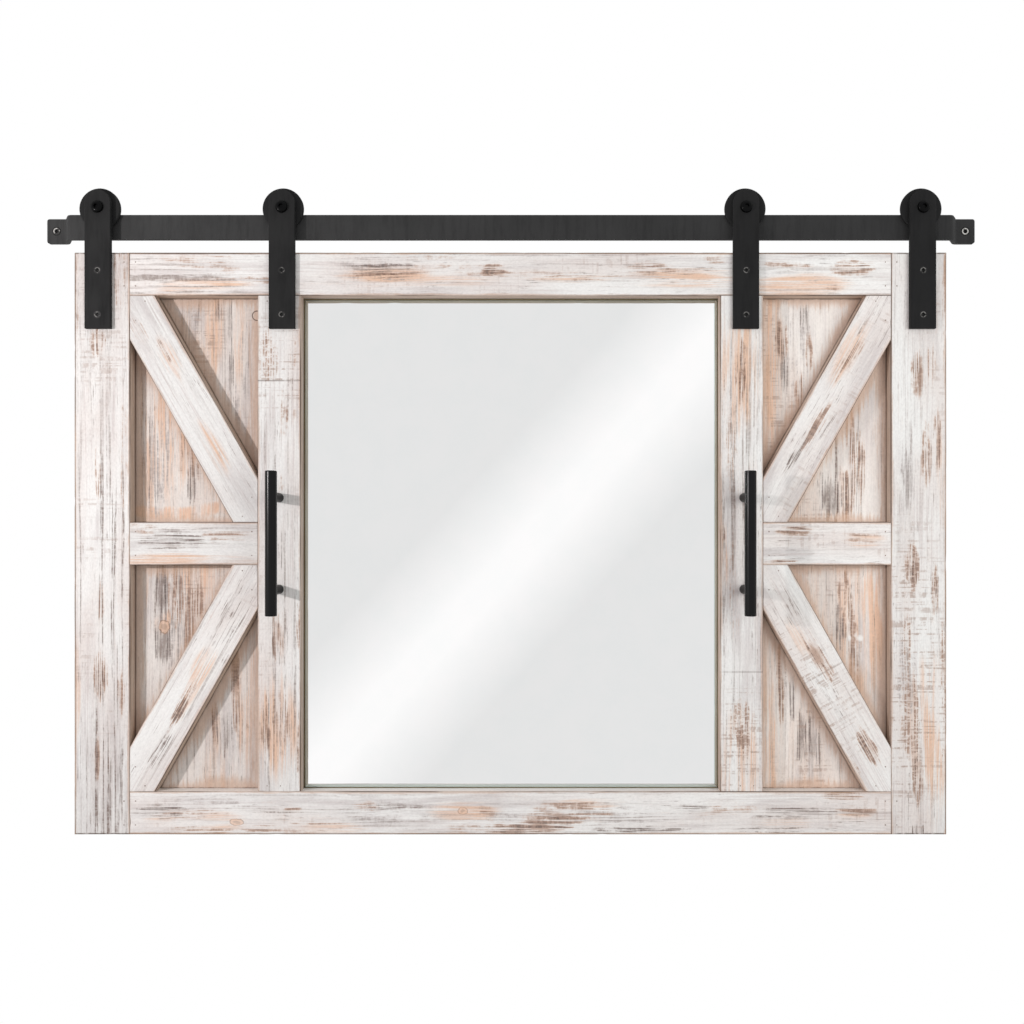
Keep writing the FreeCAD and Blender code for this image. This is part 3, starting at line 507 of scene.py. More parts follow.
def turn(first, second, third):
    """Twice the signed area of a triangle: above zero where it turns left."""
    step = (second[0] - first[0], second[1] - first[1])
    return step[0] * (third[1] - first[1]) - step[1] * (third[0] - first[0])


def back_outline(node):
    """A board's outline in X and Z, the hull of its back face, in order."""
    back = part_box(node)[1].y
    points = set()
    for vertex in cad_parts[node].data.vertices:
        if abs(vertex.co.y - back) < 0.0002:
            points.add((round(vertex.co.x, 5), round(vertex.co.z, 5)))
    points = sorted(points)
    hull = []
    for ordered in (points, points[::-1]):
        chain = []
        for point in ordered:
            while len(chain) > 1 and turn(chain[-2], chain[-1], point) <= 1e-8:
                chain.pop()
            chain.append(point)
        hull += chain[:-1]
    return [Vector(point) for point in hull]


def grain_angle(outline):
    """The direction of an outline's longest side, from level, between -90 and 90 degrees."""
    sides = [outline[index] - outline[index - 1] for index in range(len(outline))]
    longest = max(sides, key=lambda side: side.length)
    angle = math.atan2(longest.y, longest.x)
    while angle > math.pi / 2 + 0.001:
        angle -= math.pi
    while angle < -math.pi / 2 + 0.001:
        angle += math.pi
    return angle


def beyond_strip(tree, place, node):
    """How far a place lies outside a board's long edges: below zero within the board."""
    outline = back_outline(node)
    grain = grain_angle(outline)
    reaches = [point.y * math.cos(grain) - point.x * math.sin(grain) for point in outline]
    across = tree.dot(place, (-math.sin(grain), 0, math.cos(grain)))
    from_middle = tree.off(across, (max(reaches) + min(reaches)) / 2)
    return tree.less(from_middle, (max(reaches) - min(reaches)) / 2)


def beyond_covers(tree, place, panel):
    """How far a place on a door's panel lies outside the boards that lie over it."""
    side = panel.split("_")[0]
    reach = 1
    for name in BOARDS:
        if name.startswith(side) or name in ("top_rail", "bottom_rail"):
            reach = tree.math("MINIMUM", reach, beyond_strip(tree, place, name))
    return reach


def inside_box(tree, place, low, high):
    """How far a place lies within the edges of a box, seen from the front."""
    parts = tree.split(place)
    reach = 1
    for axis in (0, 2):
        reach = tree.math("MINIMUM", reach, tree.less(parts[axis], low[axis]))
        reach = tree.math("MINIMUM", reach, tree.less(high[axis], parts[axis]))
    return reach


def wood_material(node, settings, grain, look):
    """Distressed white paint over brown wood, scraped along the grain of one board."""
    tree, place = new_material("wood_" + node)
    mix = tree.mix
    ease = tree.ease
    times = tree.times
    times_plus = tree.times_plus
    # Noise lies between 0 and 1: an ease gives the values where a look sets in, then its strengths
    seed, wear, haze, line_level, bright = settings
    marks = MARKS.get(node, {})
    low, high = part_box(node)
    along = tree.dot(place, (math.cos(grain), 0, math.sin(grain)))
    across = tree.dot(place, (-math.sin(grain), 0, math.cos(grain)))
    depth = tree.split(place)[1]
    shift = seed * SEED_STEP
    base = tree.combine(tree.plus(along, shift), tree.plus(across, shift * SEED_SKEW), depth)

    # Lines wander a little off the straight grain
    wander = tree.grains(base, (4, 16, 16))
    along_bent = times_plus(wander[0], WANDER_ALONG, tree.less(along, WANDER_ALONG / 2))
    across_bent = times_plus(wander[1], WANDER_ACROSS, tree.less(across, WANDER_ACROSS / 2))
    bent = tree.combine(tree.plus(along_bent, shift), tree.plus(across_bent, shift * SEED_SKEW), depth)

    # Thin brush lines, dashes that break them, wider bands, large patches and small chips
    brush = tree.grains(bent, (11, 600, 600), 2, 0.65)
    dash = tree.grains(bent, (look["dashes"], 420, 420), 3, 0.62)
    band = tree.grains(bent, (9, 110, 110), 3, 0.6)
    patch = tree.grains(base, (5, 20, 20), 3, 0.55)
    chip = tree.grains(base, (75, 150, 150), 3, 0.65)
    hair = tree.grain(bent, (34, 760, 760), 2, 0.7)
    grit = tree.grain(base, (320, 560, 560), 2, 0.6)
    saw = tree.grain(base, (360, 12, 12), 1, 0.5)
    gap = ease(tree.grain(base, (400, 150, 150), 2, 0.6), 0.42, 0.56, 1, 0)

    amount = {}
    for kind in ("brown", "dark", "grey", "peach", "lines", "saw", "white"):
        amount[kind] = summed_marks(tree, marks.get(kind, []), along_bent, across_bent, grain)
    for kind in ("seam", "plug", "hole"):
        amount[kind] = summed_marks(tree, marks.get(kind, []), along, across, grain)
    wobble = times_plus(chip[2], KNOT_WOBBLE, -KNOT_WOBBLE / 2)
    knots = marks.get("knot", [])
    amount["knot"] = summed_marks(tree, knots, tree.plus(along, wobble), tree.less(across, wobble), grain)
    gap = times(gap, times_plus(amount["saw"], 0.4, 0.3, clamp=True))
    unbroken = tree.less(1, gap)

    def scraped(lane, kind, thin):
        """How far paint is scraped off: fine broken lines in a ragged zone round marks of one kind."""
        ragged = times_plus(band[lane], 2.4, tree.plus(amount[kind], wear - 1.75))
        ragged = times_plus(tree.less(chip[lane], 0.5), 1.7, ragged)
        ragged = times_plus(patch[lane], 1.1, ragged)
        ragged = times_plus(amount["white"], -0.5, ragged)
        zone = ease(ragged, 0.05, 0.95)
        lines = times_plus(dash[lane], 0.3, times(brush[lane], 0.7))
        streak = times(ease(lines, thin, thin + 0.1), unbroken)
        core = ease(ragged, 0.8, 1.7, 0.15, 0.45)
        deep = times_plus(amount[kind], look["deep"], look["faint"], clamp=True)
        return times(times(zone, tree.math("MAXIMUM", streak, core)), deep)

    brown = scraped(0, "brown", 0.45)
    dark = scraped(1, "dark", 0.49)
    grey = scraped(2, "grey", 0.45)

    # Paint with faint brush lines, greyed and stained through in places
    colour = mix(ease(patch[0], 0.38, 0.7), look["paint"][0], look["paint"][1])
    cloud = times(ease(patch[1], 0.42, 0.66), ease(band[0], 0.38, 0.62))
    colour = mix(times(cloud, look["grey"]), colour, LILAC)
    brushed = times_plus(brush[2], 0.6, times(band[2], 0.4))
    colour = mix(ease(brushed, 0.5, 0.68, 0, 0.55), colour, BRUSH_SHADE)
    stain = times_plus(ease(patch[2], 0.45, 0.7), haze, times(amount["peach"], 1.1))
    stain = times_plus(amount["brown"], 0.25, stain)
    stain = times(stain, ease(band[1], 0.34, 0.62, 0.25, 1.15))
    stain = times(stain, ease(brush[1], 0.36, 0.6, 0.5, 1.15))
    colour = mix(ease(stain, 0.05, 1.2, 0, 0.9), colour, PEACH)

    # Bare wood in scraped lines, from a thin tan to deep brown and grey
    colour = mix(ease(grey, 0, 0.6, 0, 0.75), colour, tree.ramp(grey, GREY_RAMP))
    colour = mix(ease(brown, 0, 0.5, 0, 0.9), colour, tree.ramp(brown, BROWN_RAMP))
    colour = mix(ease(dark, 0, 0.5, 0, 0.9), colour, tree.ramp(dark, DARK_RAMP))

    # Long grain lines, marks of the saw across them, and fine cracks
    ring = tree.grain(bent, (4, 330, 330), 1, 0.5)
    lines = times(ease(ring, 0.56, 0.66), tree.plus(amount["lines"], line_level, clamp=True))
    lines = times(lines, ease(dash[2], 0.4, 0.56, 0.1, 1))
    colour = mix(times(times(lines, unbroken), 0.85), colour, GRAIN_LINE)
    scored = times_plus(ease(patch[0], 0.5, 0.66), look["scored"], amount["saw"], clamp=True)
    cut = times(ease(saw, 0.52, 0.62), scored)
    cut = times(cut, ease(chip[1], 0.42, 0.6))
    colour = mix(times(cut, 0.7), colour, SAW_MARK)
    crack = times(ease(hair, 0.6, 0.7), ease(patch[2], 0.4, 0.58, 0.25, 1))
    crack = times(crack, ease(chip[0], 0.4, 0.55))
    colour = mix(times(times(crack, unbroken), 0.8), colour, CRACK)

    # Worn long edges on a board, dark at the frame's outline, and round a panel a dark line and a tan rim
    # by the boards over it, bare wood that also stands for painted warm shade in the recess corners
    if node in PANELS:
        from_edge = beyond_covers(tree, place, node)
    else:
        from_edge = times(beyond_strip(tree, place, node), -1)
        outer_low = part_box("left_outer_stile")[0]
        outer_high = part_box("right_outer_stile")[1]
        outer = ease(inside_box(tree, place, outer_low, outer_high), *OUTER_EDGE, 1, 0)
        outer = times(outer, ease(band[1], 0.34, 0.54, 0.3, 0.9))
        colour = mix(outer, colour, EDGE_DARK_AND_FOOT_SHADE)
    ragged_reach = times_plus(ease(dash[0], 0.45, 0.7), 0.6, ease(patch[1], 0.4, 0.65, 0, 0.6))
    rim = tree.less(tree.math("DIVIDE", from_edge, look["rim"]), ragged_reach)
    rim = ease(rim, -0.2, 0.8, 1, 0)
    # On a panel this tan rim along the covering boards is partly painted warm shade in the recess corners
    colour = mix(times(rim, look["edge"]), colour, EDGE_TAN)
    lip = ease(from_edge, *LIP_EDGE, 1, 0)
    lip = times(lip, ease(band[2], 0.36, 0.58, 0.2, look["lip"]))
    colour = mix(lip, colour, EDGE_DARK_AND_FOOT_SHADE)

    # Joints in the board, knots and filled holes
    colour = mix(times(amount["seam"], ease(band[0], 0.3, 0.5, 0.4, 1), clamp=True), colour, SEAM)
    colour = mix(ease(tree.off(amount["hole"], 0.7), 0.05, 0.16, 0.9, 0), colour, SEAM)
    colour = mix(ease(amount["knot"], 0.2, 0.6, 0, 0.6), colour, PEACH)
    colour = mix(ease(tree.off(amount["knot"], 0.35), 0.02, 0.22, 0.6, 0), colour, KNOT)
    colour = mix(ease(amount["knot"], 0.88, 0.98, 0, 0.25), colour, SEAM)
    colour = mix(times(amount["plug"], 0.8, clamp=True), colour, PAINT_LIGHT)

    # Thinner paint on the sides, a dark line of painted shade at their foot, whiter sides facing up that
    # are partly painted light from above, and no paint on the back
    side_tone = mix(ease(brush[0], 0.4, 0.66), SIDE_WASH, SIDE_BARE)
    # Painted shade: a dark line at the foot of each side, where it meets the panel or the glass
    foot = ease(depth, high.y - FOOT_SHADE_START, high.y - FOOT_SHADE_END, 0, 0.85)
    side_tone = mix(foot, side_tone, EDGE_DARK_AND_FOOT_SHADE)
    normal = tree.split(tree.add("ShaderNodeNewGeometry").outputs["Normal"])
    # Sides that face up turn whiter: paint, and partly painted light falling from above
    side_tone = mix(ease(normal[2], 0.5, 0.9, 0, 0.75), side_tone, PAINT_LIGHT)
    side = ease(depth, low.y + SIDE_START, low.y + SIDE_END)
    colour = mix(times(side, 0.9), colour, side_tone)
    year_ring = tree.grain(bent, (2.2, 60, 60), 3, 0.6)
    raw = mix(ease(year_ring, 0.36, 0.64), RAW_WOOD, RAW_WOOD_DEEP)
    colour = mix(ease(normal[1], 0.5, 0.9), colour, raw)
    colour = tree.shade(colour, ease(grit, 0.25, 0.75, bright - 0.06, bright + 0.04))

    worn_away = tree.math("MAXIMUM", brown, dark)
    rough = times_plus(grit, 0.16, times_plus(worn_away, 0.14, 0.5))
    height = times_plus(worn_away, -0.5, times(brush[0], 0.45))
    height = times_plus(lines, -0.7, height)
    height = times_plus(tree.math("MAXIMUM", cut, crack), -0.4, height)
    height = times_plus(amount["seam"], -0.6, height)
    return tree.surface(colour, rough, {"Specular IOR Level": 0.3}, (height, 0.0005, 0.55))


def add_object(name, data):
    made = bpy.data.objects.new(name, data)
    bpy.context.scene.collection.objects.link(made)
    return made


def mesh_object(name, mesh):
    """Turns a bmesh into an object."""
    bmesh.ops.recalc_face_normals(mesh, faces=mesh.faces)
    data = bpy.data.meshes.new(name)
    mesh.to_mesh(data)
    mesh.free()
    return add_object(name, data)


def dress(piece, body, material, replaced=None, crease=38):
    """Smooths a piece up to its creases, lets it ride on a body and gives it its material."""
    for polygon in piece.data.polygons:
        polygon.use_smooth = True
    piece.data.set_sharp_from_angle(angle=math.radians(crease))
    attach(piece, body)
    if replaced:
        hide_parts(replaced)
    piece.data.materials.clear()
    piece.data.materials.append(material)


def join_rings(mesh, rings):
    """Closes rings of points into one form with flat ends, and hands back the last end."""
    count = len(rings[0])
    for outer, inner in zip(rings, rings[1:]):
        for index in range(count):
            after = (index + 1) % count
            mesh.faces.new((outer[index], outer[after], inner[after], inner[index]))
    mesh.faces.new(rings[0])
    return mesh.faces.new(rings[-1])


def walk_outline(corners):
    """Points round a convex outline, each with the direction that leads inwards."""
    walked = []
    count = len(corners)
    for index in range(count):
        start = corners[index]
        end = corners[(index + 1) % count]
        before = (start - corners[index - 1]).normalized()
        ahead = (end - start).normalized()
        inward_before = Vector((-before.y, before.x))
        inward = Vector((-ahead.y, ahead.x))
        at_corner = (inward_before + inward) / (1 + inward_before.dot(inward))
        steps = max(2, round((end - start).length / EDGE_STEP))
        walked.append((start, at_corner))
        for step in range(1, steps):
            walked.append((start.lerp(end, step / steps), inward))
    return walked


def edge_round(point, seed, base):
    """How far the front edge is worn round at a point: a steady round with a few deeper nicks."""
    spot = Vector((point.x * EDGE_REPEATS, seed * 5.1, point.y * EDGE_REPEATS))
    steady = 1 + ROUND_SPREAD * noise.noise(spot)
    nick = max(0, noise.noise(spot * NICK_REPEATS + Vector((7, 0, 3))) - NICK_START)
    return base * (steady + NICK_DEPTH * nick)


def edge_profile(worn, front, back):
    """A board's edge from its back to its front, as steps of (inset, depth)."""
    steps = [(BACK_BREAK, back), (0, back - BACK_BREAK)]
    for level in range(ROUND_STEPS + 1):
        angle = math.pi / 2 * level / ROUND_STEPS
        steps.append((worn * (1 - math.cos(angle)), front + worn * (1 - math.sin(angle))))
    return steps + [(worn + FRONT_BORDER, front)]


def board_mesh(node, seed, grain, outline, base_round):
    """A closed board with unevenly worn front edges and a rough-sawn face."""
    low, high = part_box(node)
    columns = []
    for point, inward in walk_outline(outline):
        profile = edge_profile(edge_round(point, seed, base_round), low.y, high.y)
        columns.append([(point + inward * inset, depth) for inset, depth in profile])
    mesh = bmesh.new()
    rings = []
    for level in zip(*columns):
        rings.append([mesh.verts.new((spot.x, depth, spot.y)) for spot, depth in level])
    front = join_rings(mesh, rings)
    divide_face(mesh, front, rings[-1], grain)
    hollow_front(mesh, low.y, seed, grain)
    bmesh.ops.triangulate(mesh, faces=[face for face in mesh.faces if len(face.verts) > 4])
    return mesh


def divide_face(mesh, front, border, grain):
    """Cuts the front face into small pieces along and across the grain."""
    faces = [front]
    for angle, spacing in ((grain, FRONT_GRID * 2), (grain + math.pi / 2, FRONT_GRID)):
        normal = Vector((math.cos(angle), 0, math.sin(angle)))
        reaches = [vertex.co.dot(normal) for vertex in border]
        cut = min(reaches) + spacing
        while cut < max(reaches) - spacing / 2:
            edges = {edge for face in faces for edge in face.edges}
            corners = {vertex for face in faces for vertex in face.verts}
            parts = list(edges | corners) + faces
            result = bmesh.ops.bisect_plane(mesh, geom=parts, plane_co=normal * cut, plane_no=normal)
            faces = [part for part in result["geom"] if isinstance(part, bmesh.types.BMFace)]
            cut += spacing


def hollow_front(mesh, front, seed, grain):
    """Lets the front face dip a little between its edges, as rough-sawn wood does."""
    for vertex in mesh.verts:
        if vertex.co.y > front + 1e-6:
            continue
        along = vertex.co.x * math.cos(grain) + vertex.co.z * math.sin(grain)
        across = vertex.co.z * math.cos(grain) - vertex.co.x * math.sin(grain)
        spot = Vector((along * HOLLOW_REPEATS[0], across * HOLLOW_REPEATS[1], seed * 3.7))
        vertex.co.y += HOLLOW * (1 + noise.noise(spot)) / 2


def dress_boards(group, look, base_round, upright=False):
    """Replaces each CAD board of a group by its worn form and gives it painted wood."""
    for node, settings in group.items():
        outline = back_outline(node)
        grain = math.pi / 2 if upright else grain_angle(outline)
        piece = mesh_object(node + "_worn", board_mesh(node, settings[0], grain, outline, base_round))
        dress(piece, "mirror_frame", wood_material(node, settings, grain, look), node)


dress_boards(BOARDS, BOARD_LOOK, BOARD_ROUND)
dress_boards(PANELS, PANEL_LOOK, PANEL_ROUND, upright=True)
dress_boards(BACK_STRIPS, PANEL_LOOK, PANEL_ROUND)


def lathe(mesh, profile, centre, segments, wobble=0, seed=0):
    """Adds a closed turned form to a mesh: (radius, depth) from end to end, about a line along Y."""
    rings = []
    for radius, depth in profile:
        ring = []
        for segment in range(segments):
            angle = 2 * math.pi * segment / segments
            spot = Vector((math.cos(angle) * 3 + seed, depth * 300, math.sin(angle) * 3))
            reach = radius * (1 + wobble * noise.noise(spot))
            x = centre[0] + reach * math.cos(angle)
            z = centre[1] + reach * math.sin(angle)
            ring.append(mesh.verts.new((x, depth, z)))
        rings.append(ring)
    join_rings(mesh, rings)


def solids_of(node):
    """The lowest and highest corner of each separate solid in a CAD node."""
    mesh = bmesh.new()
    mesh.from_mesh(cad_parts[node].data)
    bmesh.ops.remove_doubles(mesh, verts=mesh.verts, dist=1e-6)
    waiting = set(mesh.verts)
    boxes = []
    while waiting:
        group = [waiting.pop()]
        for vertex in group:
            for edge in vertex.link_edges:
                other = edge.other_vert(vertex)
                if other in waiting:
                    waiting.remove(other)
                    group.append(other)
        low = Vector([min(vertex.co[axis] for vertex in group) for axis in range(3)])
        high = Vector([max(vertex.co[axis] for vertex in group) for axis in range(3)])
        boxes.append((low, high))
    mesh.free()
    return sorted(boxes, key=lambda corners: (round(corners[0].x, 4), round(corners[0].z, 4)))


def middle(low, high):
    """The middle of a box in X and Z."""
    return ((low.x + high.x) / 2, (low.z + high.z) / 2)


def brad_piece(finish):
    """Small oval nail heads, set just at the boards' surface, in place of the CAD brads."""
    draw = random.Random(17)
    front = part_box("top_rail")[0].y
    mesh = bmesh.new()
    for low, high in solids_of("brad_nails"):
        radius = draw.uniform(*BRAD_RADIUS)
        profile = [
            (radius * 0.35, front - 0.00004),
            (radius * 0.62, front - 0.00001),
            (radius * 0.68, front + 0.0004),
            (radius, front + 0.0016),
            (radius * 0.8, high.y - 0.002),
            (radius * 0.15, high.y),
        ]
        lathe(mesh, profile, middle(low, high), segments=14, wobble=0.22, seed=draw.uniform(0, 50))
    dress(mesh_object("brad_heads", mesh), "mirror_frame", finish, "brad_nails")


def steel_material(name, tone, roughness, specular, speckle, bumps=0.25, metallic=0, rubbed=0.1):
    """Coated steel: a fine speckle, faint cloudy patches and light rubbing."""
    tree, place = new_material(name)
    cloud = tree.grain(place, (22, 22, 22), 3, 0.6)
    grit = tree.grain(place, (1500, 1500, 1500), 2, 0.6)
    rub = tree.grain(place, (160, 160, 24), 3, 0.7)
    colour = tree.shade(tone, tree.ease(cloud, 0.25, 0.75, 0.82, 1.2))
    colour = tree.shade(colour, tree.ease(grit, 0.3, 0.7, 1 - speckle, 1 + speckle))
    rough = tree.ease(cloud, 0.2, 0.8, roughness - rubbed / 2, roughness + rubbed / 2)
    rough = tree.times_plus(tree.ease(rub, 0.4, 0.8), rubbed, rough)
    settings = {"Metallic": metallic, "Specular IOR Level": specular}
    return tree.surface(colour, rough, settings, (grit, 0.0001, bumps))


def screw_material(name, centres, front, radius, face, rim):
    """Screw heads with a bright broken ring by the rim, worn metal that also stands for painted glints, and
    painted shade down in the recess.
    """
    tree, place = new_material(name)
    x, y, z = tree.split(place)
    nearest = 1
    for centre in centres:
        across = tree.less(x, centre[0])
        upward = tree.less(z, centre[1])
        square = tree.times_plus(across, across, tree.times(upward, upward))
        nearest = tree.math("MINIMUM", nearest, square)
    share = tree.math("DIVIDE", tree.math("SQRT", nearest), radius)
    # The bright broken ring is worn metal and partly painted glints
    ring = tree.times(tree.ease(share, 0.46, 0.6), tree.ease(share, 0.66, 0.84, 1, 0))
    grit = tree.grain(place, (900, 900, 900), 3, 0.6)
    arc = tree.grain(place, (330, 330, 330), 1, 0.5)
    rubbed = tree.times(ring, tree.ease(arc, 0.44, 0.58, 0.06, 1))
    colour = tree.mix(rubbed, face, rim)
    # Painted shade: the recess below the head's face is darker
    colour = tree.mix(tree.ease(y, front + 0.0001, front + 0.0006), colour, srgb(14, 14, 14))
    rough = tree.ease(grit, 0.2, 0.8, 0.36, 0.55)
    return tree.surface(colour, rough, {"Specular IOR Level": 0.35}, (grit, 0.0001, 0.3))


def hardboard_material():
    """Brown pressed board with short fibres."""
    tree, place = new_material("hardboard")
    fibre = tree.grains(place, (240, 240, 700), 4, 0.7)
    cloud = tree.grain(place, (12, 12, 12), 2, 0.5)
    colour = tree.mix(tree.ease(fibre[0], 0.3, 0.7), srgb(150, 112, 78), srgb(112, 80, 54))
    colour = tree.shade(colour, tree.ease(cloud, 0.3, 0.7, 0.9, 1.08))
    rough = tree.ease(fibre[1], 0.3, 0.7, 0.6, 0.8)
    return tree.surface(colour, rough, bump=(fibre[0], 0.0002, 0.4))


def mirror_material():
    """Silvered glass with a fine film, greener near its rim."""
    tree, place = new_material("silvered_glass")
    film = tree.grain(place, (30, 30, 30), 4, 0.6)
    colour = tree.mix(tree.ease(film, 0.3, 0.7), srgb(254, 254, 254), srgb(252, 253, 253))
    from_rim = inside_box(tree, place, *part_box("mirror_glass"))
    colour = tree.mix(tree.ease(from_rim, *GREEN_RIM, 1, 0), colour, RIM_GREEN)
    return tree.surface(colour, tree.ease(film, 0.3, 0.7, 0.01, 0.022), {"Metallic": 1})


def felt_material():
    """Dense grey felt."""
    tree, place = new_material("grey_felt")
    hair = tree.grains(place, (2600, 2600, 2600), 4, 0.75)
    clump = tree.grain(place, (420, 420, 420), 3, 0.6)
    colour = tree.mix(tree.ease(hair[0], 0.3, 0.7), srgb(74, 72, 70), srgb(128, 125, 121))
    colour = tree.shade(colour, tree.ease(clump, 0.3, 0.7, 0.85, 1.1))
    rough = tree.ease(hair[1], 0.3, 0.7, 0.85, 1)
    return tree.surface(colour, rough, {"Sheen Weight": 0.3}, (hair[2], 0.0004, 0.6))


# Steel: colour, roughness, specular level, speckle
powder_black = steel_material("powder_black", srgb(12, 12, 13), 0.8, 0.92, 0.16)
strap_black = steel_material("strap_black", srgb(10, 10, 11), 0.8, 0.48, 0.16)
gloss_black = steel_material("gloss_black", srgb(5, 5, 6), 0.23, 0.23, 0.05, bumps=0.01, rubbed=0.02)
post_black = steel_material("post_black", srgb(6, 6, 7), 0.4, 0.1, 0.05, bumps=0.02, rubbed=0.04)
bolt_black = steel_material("bolt_black", srgb(4, 4, 5), 0.24, 0.1, 0.05, bumps=0.03, rubbed=0.04)
zinc = steel_material("zinc", srgb(196, 196, 190), 0.32, 0.5, 0.05, bumps=0.1, metallic=1)
nail_brown = steel_material("nail_brown", srgb(138, 120, 110), 0.6, 0.3, 0.2)
screw_boxes = solids_of("hanger_screws")
# The rim colours are worn metal and partly painted glints
strap_screw = screw_material(
    "strap_screw", [middle(low, high) for low, high in screw_boxes], screw_boxes[0][0].y,
    STRAP_SCREW_RADIUS, srgb(14, 14, 14), srgb(116, 114, 112),
)
wall_screw_finish = screw_material(
    "wall_screw", [(-TAB_HOLE_X, 0), (TAB_HOLE_X, 0)], TAB_FRONT,
    WALL_SCREW_RADIUS, srgb(18, 18, 18), srgb(214, 212, 208),
)

brad_piece(nail_brown)

HANGERS = ("left_outer", "left_inner", "right_inner", "right_outer")
FINISHES = (
    (powder_black, ("track_bar", "front_washers")),
    (strap_black, [hanger + kind for hanger in HANGERS for kind in ("_hanger", "_roller")]),
    (gloss_black, ("left_handle_bar", "right_handle_bar")),
    (post_black, ("left_handle_posts", "right_handle_posts")),
    (bolt_black, ("axle_bolts",)),
    (strap_screw, ("hanger_screws",)),
    (zinc, ("rear_washers", "axle_nuts", "backing_clips", "clip_screws", "handle_screws")),
    (hardboard_material(), ("mirror_backing",)),
)
for finish, nodes in FINISHES:
    for node in nodes:
        for material_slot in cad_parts[node].material_slots:
            material_slot.material = finish


def mirror_piece():
    """Silvered sheet with ground edges, its face where the silvering appears through the glass."""
    low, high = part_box("mirror_glass")
    face = GLASS_REFLECTION_DEPTH
    chamfer = GROUND_EDGE / 2
    mesh = bmesh.new()
    rings = []
    levels = ((GROUND_EDGE, high.y), (0, high.y - chamfer), (0, face + chamfer), (GROUND_EDGE, face))
    for inset, depth in levels:
        left = low.x + inset
        right = high.x - inset
        foot = low.z + inset
        top = high.z - inset
        corners = ((left, foot), (right, foot), (right, top), (left, top))
        rings.append([mesh.verts.new((x, depth, z)) for x, z in corners])
    join_rings(mesh, rings)
    piece = mesh_object("mirror_sheet", mesh)
    dress(piece, "mirror_frame", mirror_material(), "mirror_glass", crease=5)


mirror_piece()


def felt_piece():
    """Round felt pads with softened rims, in place of the CAD bumpers."""
    mesh = bmesh.new()
    for index, (low, high) in enumerate(solids_of("wall_bumpers")):
        radius = (high.x - low.x) / 2
        thick = high.y - low.y
        profile = [(radius * wide, low.y + thick * deep) for wide, deep in PAD_PROFILE]
        lathe(mesh, profile, middle(low, high), segments=40, wobble=0.03, seed=index * 7)
    piece = mesh_object("felt_pads", mesh)
    dress(piece, "mirror_frame", felt_material(), "wall_bumpers")


felt_piece()


def cross_recess(mesh, centre, front, depth, reach, half_width):
    """Adds a tapered cross that a screw head is cut with."""
    arm = [(reach, -half_width), (reach, half_width), (half_width, half_width)]
    outline = []
    for quarter in range(4):
        outline += arm
        arm = [(-z, x) for x, z in arm]
    rings = []
    for share, at in ((1.15, front - 0.0005), (0.55, front + depth)):
        places = [(centre[0] + x * share, at, centre[1] + z * share) for x, z in outline]
        rings.append([mesh.verts.new(place) for place in places])
    join_rings(mesh, rings)


def wall_screw(name, x):
    """Countersunk wall screw that fills a tab's hole, cut off at the wall."""
    front = TAB_FRONT - 0.0001
    head = [(0.0042, front), (WALL_SCREW_RADIUS, front + 0.0003), (0.0024, front + 0.0026)]
    screw = bmesh.new()
    lathe(screw, head + [(0.0023, 0)], (x, 0), segments=40)
    cutter = bmesh.new()
    cross_recess(cutter, (x, 0), front, depth=0.0016, reach=0.0022, half_width=0.00045)
    shapes = [mesh_object(name, screw), mesh_object(name + "_recess", cutter)]
    modifier = shapes[0].modifiers.new("recess", "BOOLEAN")
    modifier.object = shapes[1]
    bpy.context.view_layer.update()
    graph = bpy.context.evaluated_depsgraph_get()
    data = bpy.data.meshes.new_from_object(shapes[0].evaluated_get(graph))
    for shape in shapes:
        bpy.data.objects.remove(shape)
    dress(add_object(name, data), "track", wall_screw_finish, crease=30)


wall_screw("left_wall_screw", -TAB_HOLE_X)
wall_screw("right_wall_screw", TAB_HOLE_X)


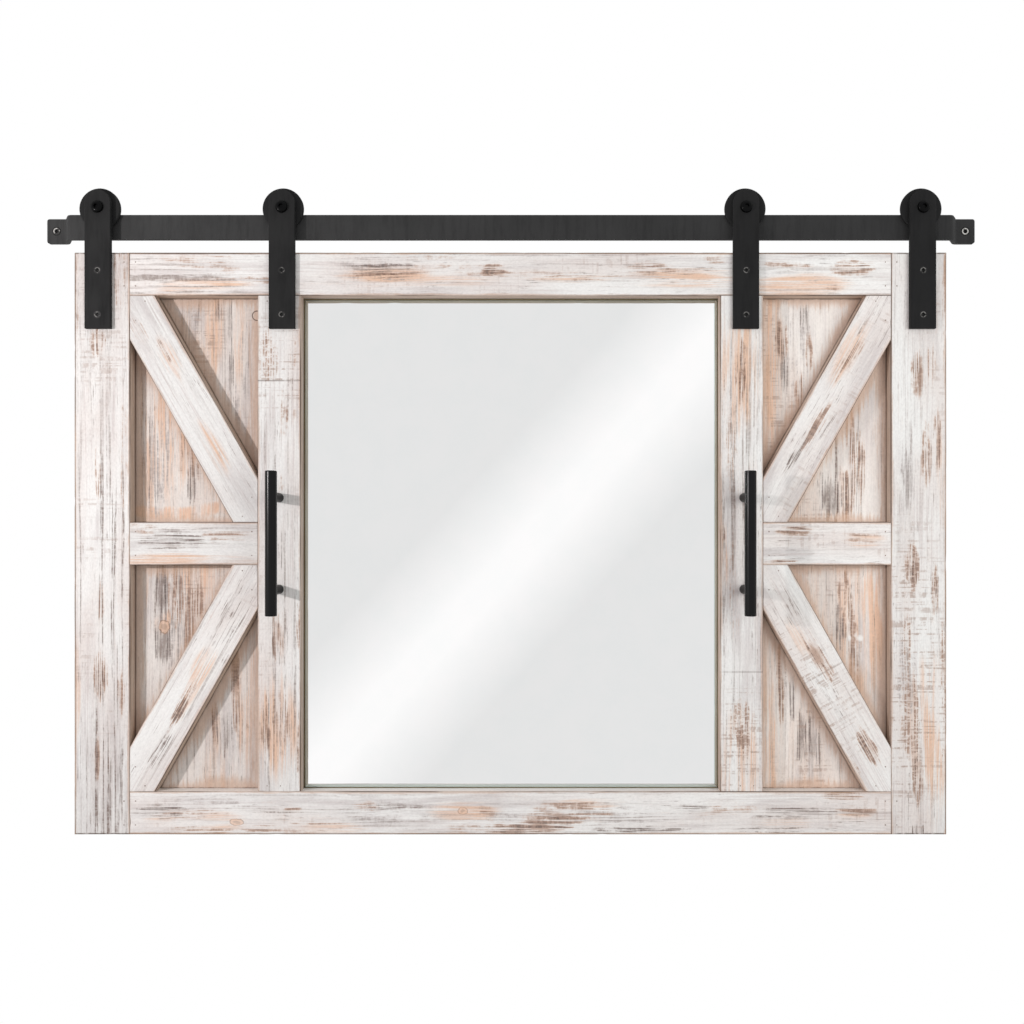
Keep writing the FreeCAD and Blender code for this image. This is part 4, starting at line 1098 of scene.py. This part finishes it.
def build_world():
    """White to the camera, a soft diagonal band over pale grey in reflections, more light from the left."""
    bpy.context.scene.world = bpy.data.worlds.new("studio")
    tree = empty_tree(bpy.context.scene.world)
    rays = tree.add("ShaderNodeLightPath").outputs
    direction = tree.add("ShaderNodeTexCoord").outputs["Generated"]
    band = tree.math("ABSOLUTE", tree.dot(direction, BAND_NORMAL))
    glow = tree.ease(band, *BAND_FADE, 1, 0, "LINEAR")
    reflected = tree.mix(glow, srgb(230, 230, 230), srgb(254, 253, 253))
    toward_right = tree.split(direction)[0]
    side_light = tree.times_plus(toward_right, -0.18, 0.47)
    left_tone = (1, 0.965, 0.975, 1)
    right_tone = (0.985, 1, 0.985, 1)
    side_tone = tree.mix(tree.ease(toward_right, -0.6, 0.6), left_tone, right_tone)
    white = tree.add("ShaderNodeBackground", {"Color": (1, 1, 1, 1), "Strength": 1})
    mirrored = tree.add("ShaderNodeBackground", {"Color": reflected, "Strength": 1})
    ambient = tree.add("ShaderNodeBackground", {"Color": side_tone, "Strength": side_light})
    glossy = tree.math("MAXIMUM", rays["Is Glossy Ray"], rays["Is Transmission Ray"])
    lit = tree.add("ShaderNodeMixShader", {0: glossy, 1: ambient.outputs[0], 2: mirrored.outputs[0]})
    to_camera = rays["Is Camera Ray"]
    seen = tree.add("ShaderNodeMixShader", {0: to_camera, 1: lit.outputs[0], 2: white.outputs[0]})
    tree.add("ShaderNodeOutputWorld", {0: seen.outputs[0]})


build_world()


def add_lamp(name, place, target, size, watts, tint=(1, 1, 1), mirrored=False):
    """A round area lamp turned towards a point, seen in reflections only if it is to be mirrored."""
    lamp = bpy.data.lights.new(name, "AREA")
    lamp.shape = "DISK"
    lamp.size = size
    lamp.energy = watts
    lamp.color = tint
    holder = add_object(name, lamp)
    holder.visible_glossy = mirrored
    holder.location = place
    holder.rotation_euler = (Vector(target) - Vector(place)).to_track_quat("-Z", "Y").to_euler()


# Lamps: place, the point that they face, width, watts, tint
add_lamp(
    "left_lamp", (-0.9, -0.66, -0.18), (-0.1, 0, -0.33), 0.045, 4.5, (1, 0.955, 0.95), mirrored=True
)
add_lamp("right_lamp", (0.9, -0.86, -0.16), (0.1, 0, -0.33), 0.9, 5.85, (0.985, 1, 0.99))
add_lamp("rear_lamp", (0.5, 1.5, 0.5), (0, 0, -0.33), 0.9, 14)


def build_floor():
    """Pale round floor below the part that fades out at its rim and keeps the shadow."""
    mesh = bmesh.new()
    bmesh.ops.create_circle(mesh, cap_ends=True, cap_tris=True, segments=96, radius=FLOOR_RADIUS)
    floor = mesh_object("floor", mesh)
    floor.location = (0, 0, FLOOR_LEVEL)
    tree, place = new_material("pale_floor")
    cloud = tree.grain(place, (6, 6, 6), 3, 0.6)
    colour = tree.mix(cloud, srgb(240, 239, 237), srgb(232, 231, 229))
    radius = tree.math("SQRT", tree.dot(place, place))
    fade = tree.ease(radius, 0.6, FLOOR_RADIUS - 0.01, 1, 0)
    floor.data.materials.append(tree.surface(colour, 0.8, {"Alpha": fade}))


build_floor()

optics = bpy.data.cameras.new("camera")
optics.lens = 33.546
optics.sensor_width = 36
optics.shift_x = -0.02734
optics.shift_y = 0.03076
camera = add_object("camera", optics)
camera.location = (0.031, -1.023, -0.3333)
camera.rotation_euler = (math.pi / 2, 0, 0)
bpy.context.scene.camera = camera
bpy.context.scene.view_settings.view_transform = "Standard"
